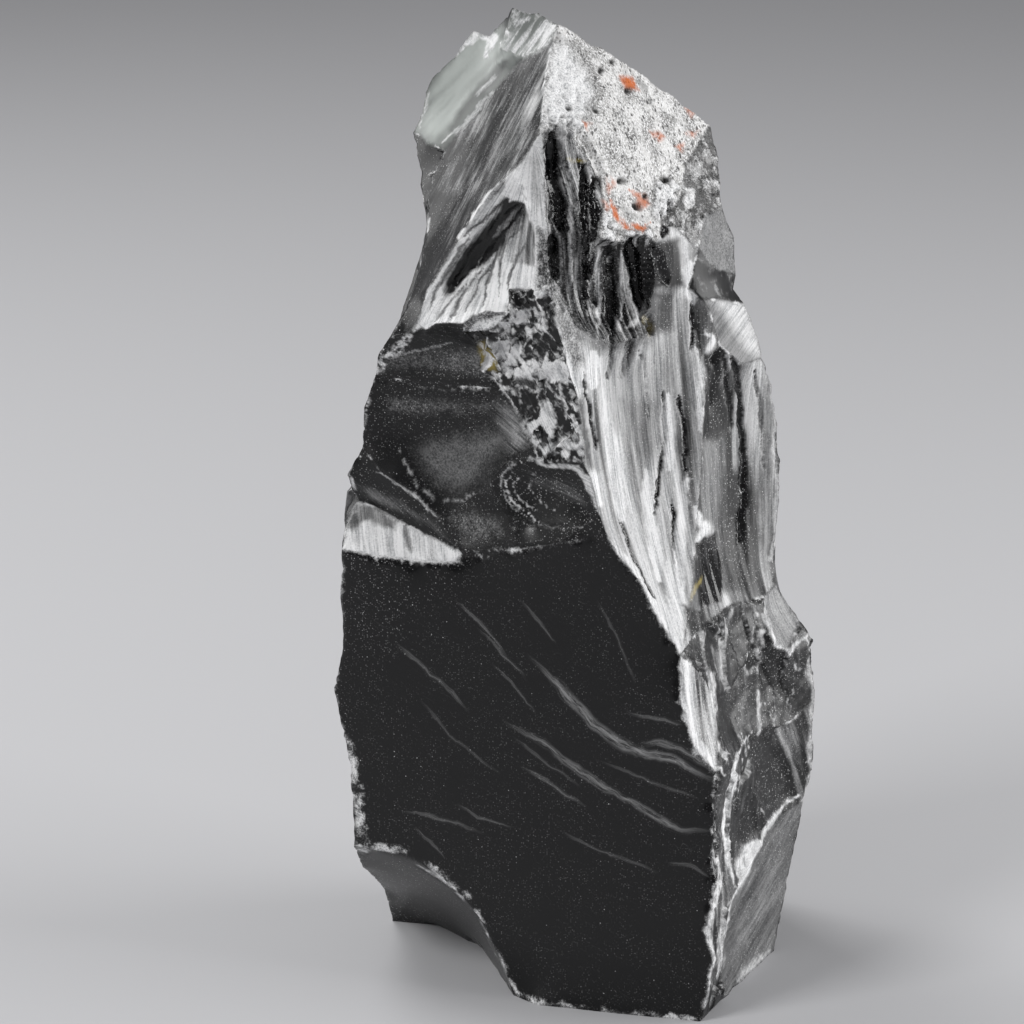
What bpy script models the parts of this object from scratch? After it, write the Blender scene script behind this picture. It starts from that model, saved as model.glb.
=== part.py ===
"""A standing chunk of obsidian: volcanic glass broken to a tall wedge, with a cap of grey rind.

The stone is one closed body. Its broken surface is a map of facets that meet on sharp ridges.
Each ridge is a line through a few points, and each facet is the area inside a ring of ridges,
hollowed a little, as the scar of a struck flake is. Lengths are millimetres until the mesh is made.

Points on the front are written as they are sighted from an eye that stands 0.9 m from the stone
and 18 degrees above it: millimetres across, millimetres up, and the depth Y of the point itself.
Points on the back and on the foot are plain X, Y, Z.
"""

import math

import bmesh
import bpy
from mathutils import Matrix, Vector, noise

NAME = "obsidian_chunk"
MM = 0.001

# The eye from which the front is sighted, and the upright sheet on which it is drawn.
EYE_DISTANCE = 900.0
EYE_ELEVATION = math.radians(18.0)
AIM = Vector((-13.9, 0.0, 110.5))
AIM_UP = 116.0

# The largest edge of a triangle, by how much shape the facet carries.
FINE = 4.6
MEDIUM = 7.0
COARSE = 11.0
FINEST = 3.7

RIDGE_WANDER = 0.55
NOISE_SEED = 7
REFINING_ROUNDS = 9
SMOOTHING_ROUNDS = 30
HOLLOW_ROUNDS = 160

# Corners of the front, where three or more ridges meet: across, up, Y.
FRONT = {
    "peak": (-4.5, 223.5, 1),
    "crown": (-3.5, 227, 3),
    "apex": (-13.5, 230.5, 12),
    "shell_left": (-17, 221, 15),
    "shell_low": (-11.5, 219, 10),
    "brow": (-7.5, 202.5, -22),
    "crest_end": (-29, 198, 20),
    "blade_top": (-36, 202.5, 32),
    "blade_end": (-33, 182.5, 11),
    "slope_foot": (-41.5, 155.5, -8),
    "lip_left": (-36.5, 156.5, -10),
    "spire": (-14, 193, -20),
    "lip_middle": (-25, 159, -20),
    "lens_right": (-15, 161.5, -24),
    "step_left": (-14.5, 166.5, -21),
    "step_right": (-9, 166.5, -25),
    "column_foot": (-5.5, 167.5, -27),
    "lens_tip": (-24.5, 156.5, -18),
    "lens_low": (-17.5, 158, -21),
    "knee": (-21, 148, -13),
    "shelf_left": (-45, 146.5, -3),
    "shelf_right": (-16.5, 144, -14),
    "keel_bend": (-2, 152.5, -28),
    "oval_top": (-7.5, 127.5, -20),
    "oval_keel": (3, 126.5, -26),
    "oval_low": (-14.5, 115.5, -16),
    "oval_end": (6, 114.5, -26),
    "shoulder": (7.5, 110.5, -26),
    "sill_middle": (-12, 107.5, -20),
    "chip_tip": (-25, 106.5, -15),
    "wedge_top": (-48, 130.5, -1),
    "chip_back": (-49, 118.5, 2),
    "left_shoulder": (-52.5, 107.5, -8),
    "left_lip": (-50, 40, -10),
    "fork": (24.5, 83.5, -28),
    "fork_low": (32.5, 57, -30),
    "rind_corner": (6, 178.5, -24.5),
    "rind_drip": (18.5, 177.5, -9.5),
    "rind_heel": (21.5, 182, -3.5),
    "rind_side": (31, 204, 29),
    "hook": (16.5, 155.5, -14),
    "rib_head": (26, 166.5, -1),
    "grey_low": (28.5, 176, 2),
    "grey_top": (30, 184, 6),
    "grey_far": (34, 185, 14),
    "grey_point": (32.5, 171, 4),
    "nick": (37, 170, 14),
    "flake_left": (30, 164.5, 0),
    "flake_right": (39, 163.5, 12),
    "flake_low": (43, 151, 14),
    "flake_corner": (33.5, 154, 2),
    "panel_end": (43, 96.5, 5),
    "side_notch": (46, 99.5, 12),
    "block_shoulder": (51.5, 91, 12),
    "block_side": (54.5, 73, 10),
    "leaf_left": (40, 65, -8),
    "facet_top": (52.5, 51, 9),
    "facet_middle": (44.5, 45, -2),
    "facet_low": (35.5, 26.5, -24),
}

# Corners of the foot, on the flat that the stone stands on: X, Y.
FOOT = {
    "toe": (29, -35),
    "toe_left": (-13.5, -21),
    "heel_left": (-42.5, 21),
    "foot_back_left": (-36, 38),
    "foot_back": (-2, 44),
    "foot_back_right": (38, 41),
    "heel_right": (48, 4),
    "toe_side": (34, -24),
}

# Corners of the back: X, Y, Z.
BACK = {
    "back_crown": (-10, 40, 190),
    "back_left_top": (-33, 43, 168),
    "back_right_top": (24, 43, 168),
    "back_right_middle": (42, 34, 138),
    "left_middle": (-48, 26, 112),
    "back_middle": (-16, 47, 118),
    "right_middle": (42, 42, 98),
    "left_low": (-50, 24, 48),
    "back_low": (-14, 46, 46),
    "right_low": (50, 31, 52),
}

# Ridges of the front: first corner, points between, last corner.
RIDGES = {
    "keel_top": ("peak", [(-6.5, 213, -11)], "brow"),
    "shell_rim": ("apex", [(-7.5, 229, 7)], "crown"),
    "shell_front": ("peak", [(-8, 220.5, 5)], "shell_low"),
    "shell_side": ("shell_low", [], "shell_left"),
    "shell_back": ("shell_left", [], "apex"),
    "shell_end": ("crown", [], "peak"),
    "crest": ("shell_low", [(-16.5, 214, 15), (-21, 207.5, 18), (-25.5, 203, 20)], "crest_end"),
    "blade_front": ("crest_end", [(-32, 192, 17)], "blade_end"),
    "blade_up": ("crest_end", [(-33, 200, 25)], "blade_top"),
    "blade_edge": ("blade_top", [(-34.5, 190.5, 20)], "blade_end"),
    "glass_rim": (
        "blade_top",
        [
            (-34, 208.5, 33),
            (-32.5, 214.5, 33),
            (-27.5, 219.5, 31),
            (-22.5, 225, 28),
            (-19, 224.5, 24),
            (-16, 227.5, 17),
        ],
        "apex",
    ),
    "frost_left": ("brow", [(-10, 198, -22)], "spire"),
    "scar_left": (
        "spire",
        [(-19, 188, -17.5), (-24.5, 181, -15), (-29, 173, -12), (-33, 166.5, -10)],
        "lip_left",
    ),
    "lip_end": ("lip_left", [], "slope_foot"),
    "slope_left": ("slope_foot", [(-38, 162.5, -4), (-35, 171, 3)], "blade_end"),
    "frost_right": ("brow", [(-6.5, 196, -22), (-6, 179, -25)], "column_foot"),
    "frost_low": ("column_foot", [], "step_right"),
    "scar_right": ("spire", [(-11.5, 190, -22), (-8.5, 180, -24)], "step_right"),
    "step_top": ("step_left", [], "step_right"),
    "step_side": ("step_left", [], "lens_right"),
    "lens_top": ("lens_right", [(-20, 161.5, -22), (-22.5, 160.5, -21)], "lip_middle"),
    "lip": ("lip_middle", [(-31, 158.5, -15)], "lip_left"),
    "lens_front": ("lip_middle", [], "lens_tip"),
    "lens_under": ("lens_tip", [], "lens_low"),
    "lens_end": ("lens_low", [], "lens_right"),
    "ledge_right": ("lens_tip", [(-20.5, 153, -15)], "knee"),
    "knee_shelf": ("knee", [], "shelf_right"),
    "shelf": ("shelf_right", [(-23.5, 144.5, -11.5), (-30, 145, -9)], "shelf_left"),
    "ledge_left": ("shelf_left", [(-44.5, 152, -5)], "slope_foot"),
    "keel_column": ("column_foot", [(-4, 159.5, -28)], "keel_bend"),
    "hackle_top": ("keel_bend", [(-4.5, 148, -24), (-12, 147.5, -18)], "knee"),
    "keel_hackle": ("keel_bend", [(1, 141.5, -27), (2.5, 131, -26)], "oval_keel"),
    "hackle_left": (
        "shelf_right",
        [(-14, 141, -16), (-12, 137, -17), (-9.5, 132, -19)],
        "oval_top",
    ),
    "oval_rim_top": ("oval_top", [(-2, 127.5, -23)], "oval_keel"),
    "keel_oval": ("oval_keel", [(5, 120, -26)], "oval_end"),
    "oval_rim_left": (
        "oval_top",
        [(-15.5, 126.5, -17.5), (-18.5, 122, -15.5), (-17.5, 118.5, -15)],
        "oval_low",
    ),
    "oval_rim_low": (
        "oval_low",
        [(-10, 113, -18), (-4.5, 112.5, -21), (2, 112.5, -24)],
        "oval_end",
    ),
    "keel_sill": ("oval_end", [], "shoulder"),
    "sill_right": ("shoulder", [(-3, 109, -23)], "sill_middle"),
    "sill_left": ("sill_middle", [], "chip_tip"),
    "sill_link": ("oval_low", [], "sill_middle"),
    "wedge_ridge": (
        "chip_tip",
        [(-30, 114, -10), (-37, 121, -7), (-44, 125.5, -4)],
        "wedge_top",
    ),
    "left_dish": ("wedge_top", [(-47.5, 140, -2)], "shelf_left"),
    "chip_top": ("chip_tip", [(-39.5, 114, -4), (-45.5, 117.5, 0)], "chip_back"),
    "left_wedge": ("chip_back", [(-51.5, 124.5, -1)], "wedge_top"),
    "chip_front": (
        "left_shoulder",
        [(-45, 106, -10), (-37, 105, -12), (-27, 104.5, -15)],
        "chip_tip",
    ),
    "left_chip": ("left_shoulder", [(-51.5, 113, -3)], "chip_back"),
    "keel_broad": ("shoulder", [(15, 100.5, -27), (19, 92.5, -28)], "fork"),
    "keel_strip": ("fork", [(24.5, 73, -30), (28, 62, -31)], "fork_low"),
    "keel_foot": (
        "fork_low",
        [(32, 39, -32), (33, 32, -33), (30, 21, -34), (31.5, 13, -34.5)],
        "toe",
    ),
    "left_broad": (
        "left_lip",
        [(-50, 47, -10), (-51, 58.5, -9.5), (-54.5, 76, -8.5), (-52, 85, -8.5), (-53, 98, -8)],
        "left_shoulder",
    ),
    "undercut_edge": (
        "toe_left",
        [
            (-16, 13, -21),
            (-18.5, 18.5, -20),
            (-22, 25.5, -19),
            (-28, 32, -16.5),
            (-33.5, 35.5, -15),
            (-39.5, 38.5, -13),
        ],
        "left_lip",
    ),
    "undercut_left": (
        "heel_left",
        [(-42, 27, 18), (-43, 30.5, 13), (-48, 35.5, 0)],
        "left_lip",
    ),
    "rind_rim": ("crown", [(4, 222.5, 9), (13, 217.5, 16), (23, 210, 24)], "rind_side"),
    "rind_left": (
        "brow",
        [(-3, 204.5, -15.5), (2.5, 198, -13), (6.5, 191.5, -14), (7, 185.5, -17.5)],
        "rind_corner",
    ),
    "rind_low": ("rind_corner", [(10.5, 177.5, -20), (15, 179.5, -12.5)], "rind_drip"),
    "rind_foot": ("rind_drip", [], "rind_heel"),
    "rind_right": ("rind_heel", [(24.5, 188.5, 7), (26, 196, 16)], "rind_side"),
    "column_right": ("rind_drip", [(18, 166.5, -10)], "hook"),
    "column_low": ("hook", [(7.5, 154, -20), (1, 158.5, -24)], "column_foot"),
    "rib": ("fork", [(27, 96, -17), (28.5, 114, -9), (30, 145, -2), (27.5, 156, -1)], "rib_head"),
    "rib_neck": ("rib_head", [], "grey_low"),
    "rough_foot": ("grey_low", [], "rind_heel"),
    "side_top": ("rind_side", [(33, 196, 24)], "grey_far"),
    "grey_rim": ("grey_far", [], "grey_top"),
    "grey_left": ("grey_top", [], "grey_low"),
    "grey_under": ("grey_low", [], "grey_point"),
    "grey_bottom": ("grey_point", [], "nick"),
    "grey_right": ("grey_far", [(36.5, 178.5, 14)], "nick"),
    "nick_edge": ("nick", [(36.5, 166.5, 13)], "flake_right"),
    "flake_top": ("flake_left", [], "flake_right"),
    "flake_link": ("flake_left", [], "rib_head"),
    "flake_edge": ("flake_right", [(41, 159, 13)], "flake_low"),
    "flake_bottom": ("flake_low", [(38, 149.5, 6)], "flake_corner"),
    "flake_side": ("flake_corner", [], "flake_left"),
    "panel_edge": (
        "flake_low",
        [(45, 145, 15), (47, 127.5, 15), (47, 121, 14.5), (45.5, 105, 13)],
        "side_notch",
    ),
    "panel_foot": ("fork", [(29.5, 90, -16), (35.5, 95, -5)], "panel_end"),
    "notch_top": ("panel_end", [], "side_notch"),
    "notch_rim": ("side_notch", [(49, 95, 13)], "block_shoulder"),
    "notch_low": ("block_shoulder", [(48.5, 84.5, 3), (45, 87, 0)], "panel_end"),
    "block_edge": ("block_shoulder", [(54.5, 87, 11)], "block_side"),
    "leaf_top": ("block_side", [(49.5, 68, 3)], "leaf_left"),
    "leaf_stem": ("leaf_left", [(36.5, 59, -20)], "fork_low"),
    "strip_right": ("fork_low", [(32.5, 72, -22), (29.5, 79.5, -23)], "fork"),
    "leaf_edge": ("block_side", [(54.5, 59.5, 10)], "facet_top"),
    "facet_rim": ("facet_top", [], "facet_middle"),
    "leaf_side": ("facet_middle", [(40.5, 54, -9)], "leaf_left"),
    "facet_left": ("facet_middle", [(40, 35.5, -12)], "facet_low"),
    "facet_heel": ("facet_low", [(34, 18.5, -28)], "toe_side"),
    "heel_edge": ("heel_right", [(48, 27.5, 7), (51, 43.5, 9)], "facet_top"),
}

# Ridges of the foot, with their points as X, Y, and of the back, as X, Y, Z.
FOOT_RIDGES = {
    "toe_front": ("toe", [(11, -31), (-8, -26)], "toe_left"),
    "undercut_foot": ("toe_left", [(-21.5, 7), (-32, 19)], "heel_left"),
    "foot_left": ("heel_left", [], "foot_back_left"),
    "foot_rear_left": ("foot_back_left", [(-18, 43)], "foot_back"),
    "foot_rear_right": ("foot_back", [(18, 45)], "foot_back_right"),
    "foot_right": ("foot_back_right", [(49, 22)], "heel_right"),
    "foot_facet": ("toe_side", [(41, -10)], "heel_right"),
    "toe_right": ("toe_side", [], "toe"),
}
BACK_RIDGES = {
    "back_peak": ("apex", [], "back_crown"),
    "back_left_crest": ("back_crown", [(-22, 44.5, 183)], "back_left_top"),
    "back_left_rise": ("back_left_top", [], "blade_top"),
    "back_rind_edge": ("rind_side", [], "back_right_top"),
    "back_right_crest": ("back_right_top", [(8, 43, 172)], "back_crown"),
    "back_right_fall": ("flake_low", [], "back_right_middle"),
    "back_right_rise": ("back_right_middle", [], "back_right_top"),
    "left_fall": ("left_shoulder", [(-52, 10, 112)], "left_middle"),
    "left_rise": ("left_middle", [(-42, 35, 140)], "back_left_top"),
    "back_slant": ("back_right_top", [(4, 49, 142)], "back_middle"),
    "back_left_slant": ("back_middle", [(-34, 41, 110)], "left_middle"),
    "right_rise": ("back_right_middle", [(44, 39, 118)], "right_middle"),
    "back_right_slant": ("right_middle", [(14, 50, 104)], "back_middle"),
    "right_fall": ("right_middle", [(48, 28, 96)], "side_notch"),
    "left_drop": ("left_middle", [(-53, 26, 80)], "left_low"),
    "left_hem": ("left_low", [(-51, 8, 42)], "left_lip"),
    "left_heel": ("left_low", [], "foot_back_left"),
    "back_drop": ("back_middle", [(-18, 51, 82)], "back_low"),
    "back_heel": ("back_low", [], "foot_back"),
    "right_drop": ("right_middle", [(50, 38, 74)], "right_low"),
    "right_heel": ("right_low", [], "foot_back_right"),
}

# Facets: the ring of ridges, how deep the hollow is, the largest edge, and the roughness.
FACETS = {
    "shell": (["shell_rim", "shell_end", "shell_front", "shell_side", "shell_back"], 1.2, FINE, 0),
    "glass_facet": (
        ["glass_rim", "shell_back", "shell_side", "crest", "blade_up"],
        2.2,
        FINE,
        0,
    ),
    "blade": (["blade_up", "blade_front", "blade_edge"], 0.5, FINE, 0),
    "satin_slope": (
        [
            "keel_top",
            "frost_left",
            "scar_left",
            "lip_end",
            "slope_left",
            "blade_front",
            "crest",
            "shell_front",
        ],
        1.5,
        MEDIUM,
        0,
    ),
    "rind": (
        [
            "keel_top",
            "rind_left",
            "rind_low",
            "rind_foot",
            "rind_right",
            "rind_rim",
            "shell_end",
        ],
        -1.5,
        FINEST,
        0.7,
    ),
    "frost": (["frost_left", "scar_right", "frost_low", "frost_right"], -1.0, FINE, 0.2),
    "bright_scar": (
        ["scar_left", "lip", "lens_top", "step_side", "step_top", "scar_right"],
        6.0,
        FINE,
        0,
    ),
    "lens": (["lens_top", "lens_front", "lens_under", "lens_end"], 0.8, FINE, 0),
    "ledge": (
        [
            "lip_end",
            "lip",
            "lens_front",
            "ledge_right",
            "knee_shelf",
            "shelf",
            "ledge_left",
        ],
        3.5,
        FINE,
        0,
    ),
    "crushed": (
        [
            "step_top",
            "frost_low",
            "keel_column",
            "hackle_top",
            "ledge_right",
            "lens_under",
            "lens_end",
            "step_side",
        ],
        2.5,
        FINEST,
        0.8,
    ),
    "hackle": (
        ["hackle_top", "keel_hackle", "oval_rim_top", "hackle_left", "knee_shelf"],
        2.0,
        FINE,
        0.5,
    ),
    "oval_scar": (["oval_rim_top", "keel_oval", "oval_rim_low", "oval_rim_left"], 3.5, FINE, 0),
    "sill": (["oval_rim_low", "keel_sill", "sill_right", "sill_link"], 0.3, FINE, 0),
    "sheen_dish": (
        [
            "shelf",
            "hackle_left",
            "oval_rim_left",
            "sill_link",
            "sill_left",
            "wedge_ridge",
            "left_dish",
        ],
        3.5,
        MEDIUM,
        0,
    ),
    "wedge": (["wedge_ridge", "left_wedge", "chip_top"], 0.8, FINE, 0),
    "white_chip": (["chip_top", "left_chip", "chip_front"], 1.5, FINE, 0),
    "broad_face": (
        [
            "sill_right",
            "keel_broad",
            "keel_strip",
            "keel_foot",
            "toe_front",
            "undercut_edge",
            "left_broad",
            "chip_front",
            "sill_left",
        ],
        -1.2,
        COARSE,
        0,
    ),
    "undercut": (["undercut_edge", "undercut_left", "undercut_foot"], 2.0, MEDIUM, 0),
    "columns": (
        ["rind_left", "rind_low", "column_right", "column_low", "frost_right"],
        4.0,
        FINEST,
        0,
    ),
    "flutes": (
        [
            "keel_column",
            "keel_hackle",
            "keel_oval",
            "keel_sill",
            "keel_broad",
            "rib",
            "rib_neck",
            "rough_foot",
            "rind_foot",
            "column_right",
            "column_low",
        ],
        2.5,
        FINE,
        0,
    ),
    "rough_side": (
        ["rind_right", "side_top", "grey_rim", "grey_left", "rough_foot"],
        0.5,
        FINE,
        0.8,
    ),
    "grey_facet": (
        ["grey_rim", "grey_right", "grey_bottom", "grey_under", "grey_left"],
        0.8,
        FINE,
        0,
    ),
    "nick_facet": (
        ["rib_neck", "grey_under", "grey_bottom", "nick_edge", "flake_top", "flake_link"],
        1.5,
        FINE,
        0,
    ),
    "flake": (["flake_top", "flake_edge", "flake_bottom", "flake_side"], 1.5, FINE, 0),
    "panel": (
        [
            "rib",
            "flake_link",
            "flake_side",
            "flake_bottom",
            "panel_edge",
            "notch_top",
            "panel_foot",
        ],
        3.0,
        FINE,
        0,
    ),
    "notch_scar": (["notch_top", "notch_rim", "notch_low"], 2.0, FINE, 0),
    "strip": (["keel_strip", "strip_right"], 0.8, FINE, 0),
    "block": (
        ["panel_foot", "notch_low", "block_edge", "leaf_top", "leaf_stem", "strip_right"],
        1.5,
        FINE,
        0,
    ),
    "leaf": (["leaf_top", "leaf_edge", "facet_rim", "leaf_side"], 2.0, FINE, 0),
    "low_rib": (
        ["leaf_stem", "leaf_side", "facet_left", "facet_heel", "toe_right", "keel_foot"],
        1.5,
        FINE,
        0,
    ),
    "low_facet": (
        ["facet_rim", "facet_left", "facet_heel", "foot_facet", "heel_edge"],
        1.5,
        MEDIUM,
        0,
    ),
    "back_crown_scar": (
        ["glass_rim", "back_peak", "back_left_crest", "back_left_rise"],
        0.8,
        COARSE,
        0,
    ),
    "back_rind": (
        ["shell_rim", "rind_rim", "back_rind_edge", "back_right_crest", "back_peak"],
        1.0,
        MEDIUM,
        0.7,
    ),
    "side_back": (
        [
            "side_top",
            "grey_right",
            "nick_edge",
            "flake_edge",
            "back_right_fall",
            "back_right_rise",
            "back_rind_edge",
        ],
        2.0,
        MEDIUM,
        0,
    ),
    "left_scar": (
        [
            "blade_edge",
            "slope_left",
            "ledge_left",
            "left_dish",
            "left_wedge",
            "left_chip",
            "left_fall",
            "left_rise",
            "back_left_rise",
        ],
        5.0,
        MEDIUM,
        0,
    ),
    "back_great_scar": (
        ["back_left_crest", "back_right_crest", "back_slant", "back_left_slant", "left_rise"],
        7.0,
        COARSE,
        0,
    ),
    "back_right_scar": (
        ["back_right_rise", "right_rise", "back_right_slant", "back_slant"],
        4.0,
        COARSE,
        0,
    ),
    "right_scar": (["back_right_fall", "right_rise", "right_fall", "panel_edge"], 3.0, MEDIUM, 0),
    "left_low_scar": (["left_fall", "left_drop", "left_hem", "left_broad"], 3.0, MEDIUM, 0),
    "left_foot_scar": (["left_hem", "left_heel", "foot_left", "undercut_left"], 2.0, MEDIUM, 0),
    "back_low_left_scar": (
        [
            "back_left_slant",
            "back_drop",
            "back_heel",
            "foot_rear_left",
            "left_heel",
            "left_drop",
        ],
        4.5,
        COARSE,
        0,
    ),
    "back_low_right_scar": (
        [
            "back_right_slant",
            "right_drop",
            "right_heel",
            "foot_rear_right",
            "back_heel",
            "back_drop",
        ],
        5.0,
        COARSE,
        0,
    ),
    "block_back": (
        [
            "notch_rim",
            "block_edge",
            "leaf_edge",
            "heel_edge",
            "foot_right",
            "right_heel",
            "right_drop",
            "right_fall",
        ],
        2.5,
        MEDIUM,
        0,
    ),
    "foot": (
        [
            "toe_front",
            "undercut_foot",
            "foot_left",
            "foot_rear_left",
            "foot_rear_right",
            "foot_right",
            "foot_facet",
            "toe_right",
        ],
        0,
        COARSE,
        0,
    ),
}

# Troughs of the front: facets they cut, half width, depth, and the line as across and up.
TROUGHS = {
    "oval_hollow": (["columns"], 1.8, 3.0, [(-4.5, 178), (-4.5, 169)]),
    "column_gap": (["columns"], 1.8, 3.5, [(-4, 198), (-2.5, 190), (-2.5, 182)]),
    "trench_left": (["columns", "flutes"], 2.4, 5.0, [(-0.5, 177), (0.5, 170), (4, 160)]),
    "trench_middle": (["columns", "flutes"], 2.0, 4.5, [(8.5, 177), (9, 168), (10, 158)]),
    "trench_right": (["columns", "flutes"], 2.0, 4.5, [(14, 177), (14, 165), (17, 157)]),
    "crack": (["flutes"], 1.6, 2.5, [(11, 154), (15, 147)]),
    "flute_left": (["flutes"], 2.6, 1.6, [(8, 150), (8, 130), (11, 110)]),
    "flute_middle": (["flutes"], 2.8, 2.2, [(16, 148), (15, 130), (16, 112), (20, 98)]),
    "flute_right": (["flutes"], 2.6, 2.0, [(23, 162), (23, 140), (23, 118), (24, 100)]),
    "slit": (["panel"], 2.0, 3.0, [(34, 151), (34.5, 140), (34, 132)]),
    "panel_flute": (["panel"], 2.8, 2.0, [(39, 145), (39, 125), (38, 104)]),
    "panel_groove": (["panel"], 2.4, 1.8, [(31.5, 130), (31, 115), (32, 100)]),
    "leaf_groove": (["block"], 2.6, 2.0, [(36, 90), (36, 78), (38, 68)]),
    "block_groove": (["block"], 3.0, 1.8, [(44, 84), (46, 76), (50, 70)]),
    "low_groove": (["low_rib"], 2.2, 1.6, [(36.5, 52), (36, 40), (37.5, 32)]),
}

# Round pockets in the rind: centre across and up, radius, depth.
POCKETS = [
    (13.5, 186, 5.0, 3.0),
    (11, 192, 2.2, 1.8),
    (21, 192, 2.0, 1.6),
    (2, 210, 3.0, 1.4),
    (18, 203, 3.2, 1.6),
]


def sight_axes():
    """The directions right, up and forward of the eye."""
    forward = Vector((0, math.cos(EYE_ELEVATION), -math.sin(EYE_ELEVATION)))
    right = Vector((1, 0, 0))
    return right, right.cross(forward), forward


def sighted(across, up, depth):
    """The point at depth Y on the line of sight through a place on the sheet."""
    right, upward, forward = sight_axes()
    eye = AIM - EYE_DISTANCE * forward
    sheet = AIM + (across - AIM.x) * right + (up - AIM_UP) * upward
    return eye + (sheet - eye) * ((depth - eye.y) / (sheet.y - eye.y))


def on_sheet(point):
    """Where the eye sees a point: across and up on the sheet."""
    right, upward, forward = sight_axes()
    ray = point - (AIM - EYE_DISTANCE * forward)
    scale = EYE_DISTANCE / ray.dot(forward)
    return Vector((ray.dot(right) * scale + AIM.x, ray.dot(upward) * scale + AIM_UP))


def all_corners():
    """Every named corner, in the body's own X, Y, Z."""
    corners = {name: sighted(*place) for name, place in FRONT.items()}
    corners |= {name: Vector((x, y, 0)) for name, (x, y) in FOOT.items()}
    corners |= {name: Vector(place) for name, place in BACK.items()}
    return corners


def all_ridges():
    """Every ridge as (first corner, points between, last corner), in the body's own X, Y, Z."""
    ridges = {}
    for name, (first, between, last) in RIDGES.items():
        ridges[name] = (first, [sighted(*place) for place in between], last)
    for name, (first, between, last) in FOOT_RIDGES.items():
        ridges[name] = (first, [Vector((x, y, 0)) for x, y in between], last)
    for name, (first, between, last) in BACK_RIDGES.items():
        ridges[name] = (first, [Vector(place) for place in between], last)
    return ridges


def ring(names, chains):
    """The vertices round a facet, from its ridges in order, each walked in the way that joins up."""
    first, second = chains[names[0]], chains[names[1]]
    here = first[-1] if first[-1] in (second[0], second[-1]) else first[0]
    if len(names) == 2:
        here = first[-1]
    start = first[0] if here is first[-1] else first[-1]
    vertices = []
    for name in names:
        chain = chains[name]
        if vertices:
            start = vertices.pop()
        walk = chain if chain[0] is start else chain[::-1]
        if walk[0] is not start:
            raise ValueError(f"ridge {name} does not join the ridge before it")
        vertices.extend(walk)
    vertices.pop()
    return vertices


def facet_map(bm, facet_of):
    """Lays out the whole surface: one flat-ended polygon for each facet, closed all round."""
    corners = {name: bm.verts.new(place) for name, place in all_corners().items()}
    chains = {}
    for name, (first, between, last) in all_ridges().items():
        middle = [bm.verts.new(place) for place in between]
        chains[name] = [corners[first], *middle, corners[last]]
    for number, (names, *_) in enumerate(FACETS.values()):
        bm.faces.new(ring(names, chains))[facet_of] = number
    bmesh.ops.recalc_face_normals(bm, faces=bm.faces)


def is_ridge(edge, facet_of):
    one, two = edge.link_faces
    return one[facet_of] != two[facet_of]


def on_ridge(vertex, facet_of):
    return len({face[facet_of] for face in vertex.link_faces}) > 1


def halve_ridges(bm, facet_of, limits):
    """Halves the long edges of the ridges. A ridge takes the finer of its two facets' limits."""
    while True:
        long = []
        for edge in bm.edges:
            if edge.calc_length() > min(limits[face[facet_of]] for face in edge.link_faces):
                long.append(edge)
        if not long:
            break
        bmesh.ops.subdivide_edges(bm, edges=long, cuts=1)


def inner_edges(faces, facet_of):
    edges = dict.fromkeys(edge for face in faces for edge in face.edges)
    return [edge for edge in edges if not is_ridge(edge, facet_of)]


def halve_inner(bm, faces, facet_of, limit):
    """Halves a facet's long inner edges, and those that join two points of its ridges."""
    cut = []
    for edge in inner_edges(faces, facet_of):
        chord = all(on_ridge(vertex, facet_of) for vertex in edge.verts)
        if chord or edge.calc_length() > limit:
            cut.append(edge)
    if cut:
        bmesh.ops.subdivide_edges(bm, edges=cut, cuts=1)
    return bool(cut)


def relax(bm, faces, facet_of, rounds):
    """Spreads the inner points evenly between the ridges round them, like a soap film."""
    points = dict.fromkeys(vertex for face in faces for vertex in face.verts)
    inner = [vertex for vertex in points if not on_ridge(vertex, facet_of)]
    for _ in range(rounds):
        bmesh.ops.smooth_vert(
            bm, verts=inner, factor=0.5, use_axis_x=True, use_axis_y=True, use_axis_z=True
        )


def refine(bm, facet_of, limits):
    """Fills each facet with triangles of its own size."""
    halve_ridges(bm, facet_of, limits)
    for number, limit in enumerate(limits):
        for step in range(REFINING_ROUNDS):
            faces = [face for face in bm.faces if face[facet_of] == number]
            bmesh.ops.triangulate(bm, faces=[face for face in faces if len(face.verts) > 3])
            faces = [face for face in bm.faces if face[facet_of] == number]
            relax(bm, faces, facet_of, 3)
            if 0 < step < REFINING_ROUNDS - 1:
                edges = inner_edges(faces, facet_of)
                bmesh.ops.beautify_fill(bm, faces=faces, edges=edges)
                faces = [face for face in bm.faces if face[facet_of] == number]
            if not halve_inner(bm, faces, facet_of, limit):
                break
    bmesh.ops.triangulate(bm, faces=[face for face in bm.faces if len(face.verts) > 3])


def wander(bm, facet_of, foot):
    """Moves points on the ridges a little, so that no ridge runs straight. The foot stays flat."""
    for vertex in bm.verts:
        if not on_ridge(vertex, facet_of):
            continue
        shift = noise.noise_vector(vertex.co * 0.21) + 0.6 * noise.noise_vector(vertex.co * 0.55)
        if foot in {face[facet_of] for face in vertex.link_faces}:
            shift.z = 0
        vertex.co += RIDGE_WANDER * shift


def hollow(inside, depth):
    """How far each inner vertex of a facet goes in: 0 on the ridges, depth at the deepest place."""
    sag = dict.fromkeys(inside, 0.0)
    around = {vertex: [edge.other_vert(vertex) for edge in vertex.link_edges] for vertex in inside}
    for _ in range(HOLLOW_ROUNDS):
        for vertex, others in around.items():
            sag[vertex] = 1.0 + sum(sag.get(other, 0.0) for other in others) / len(others)
    deepest = max(sag.values(), default=1.0)
    return {vertex: depth * value / deepest for vertex, value in sag.items()}


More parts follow.
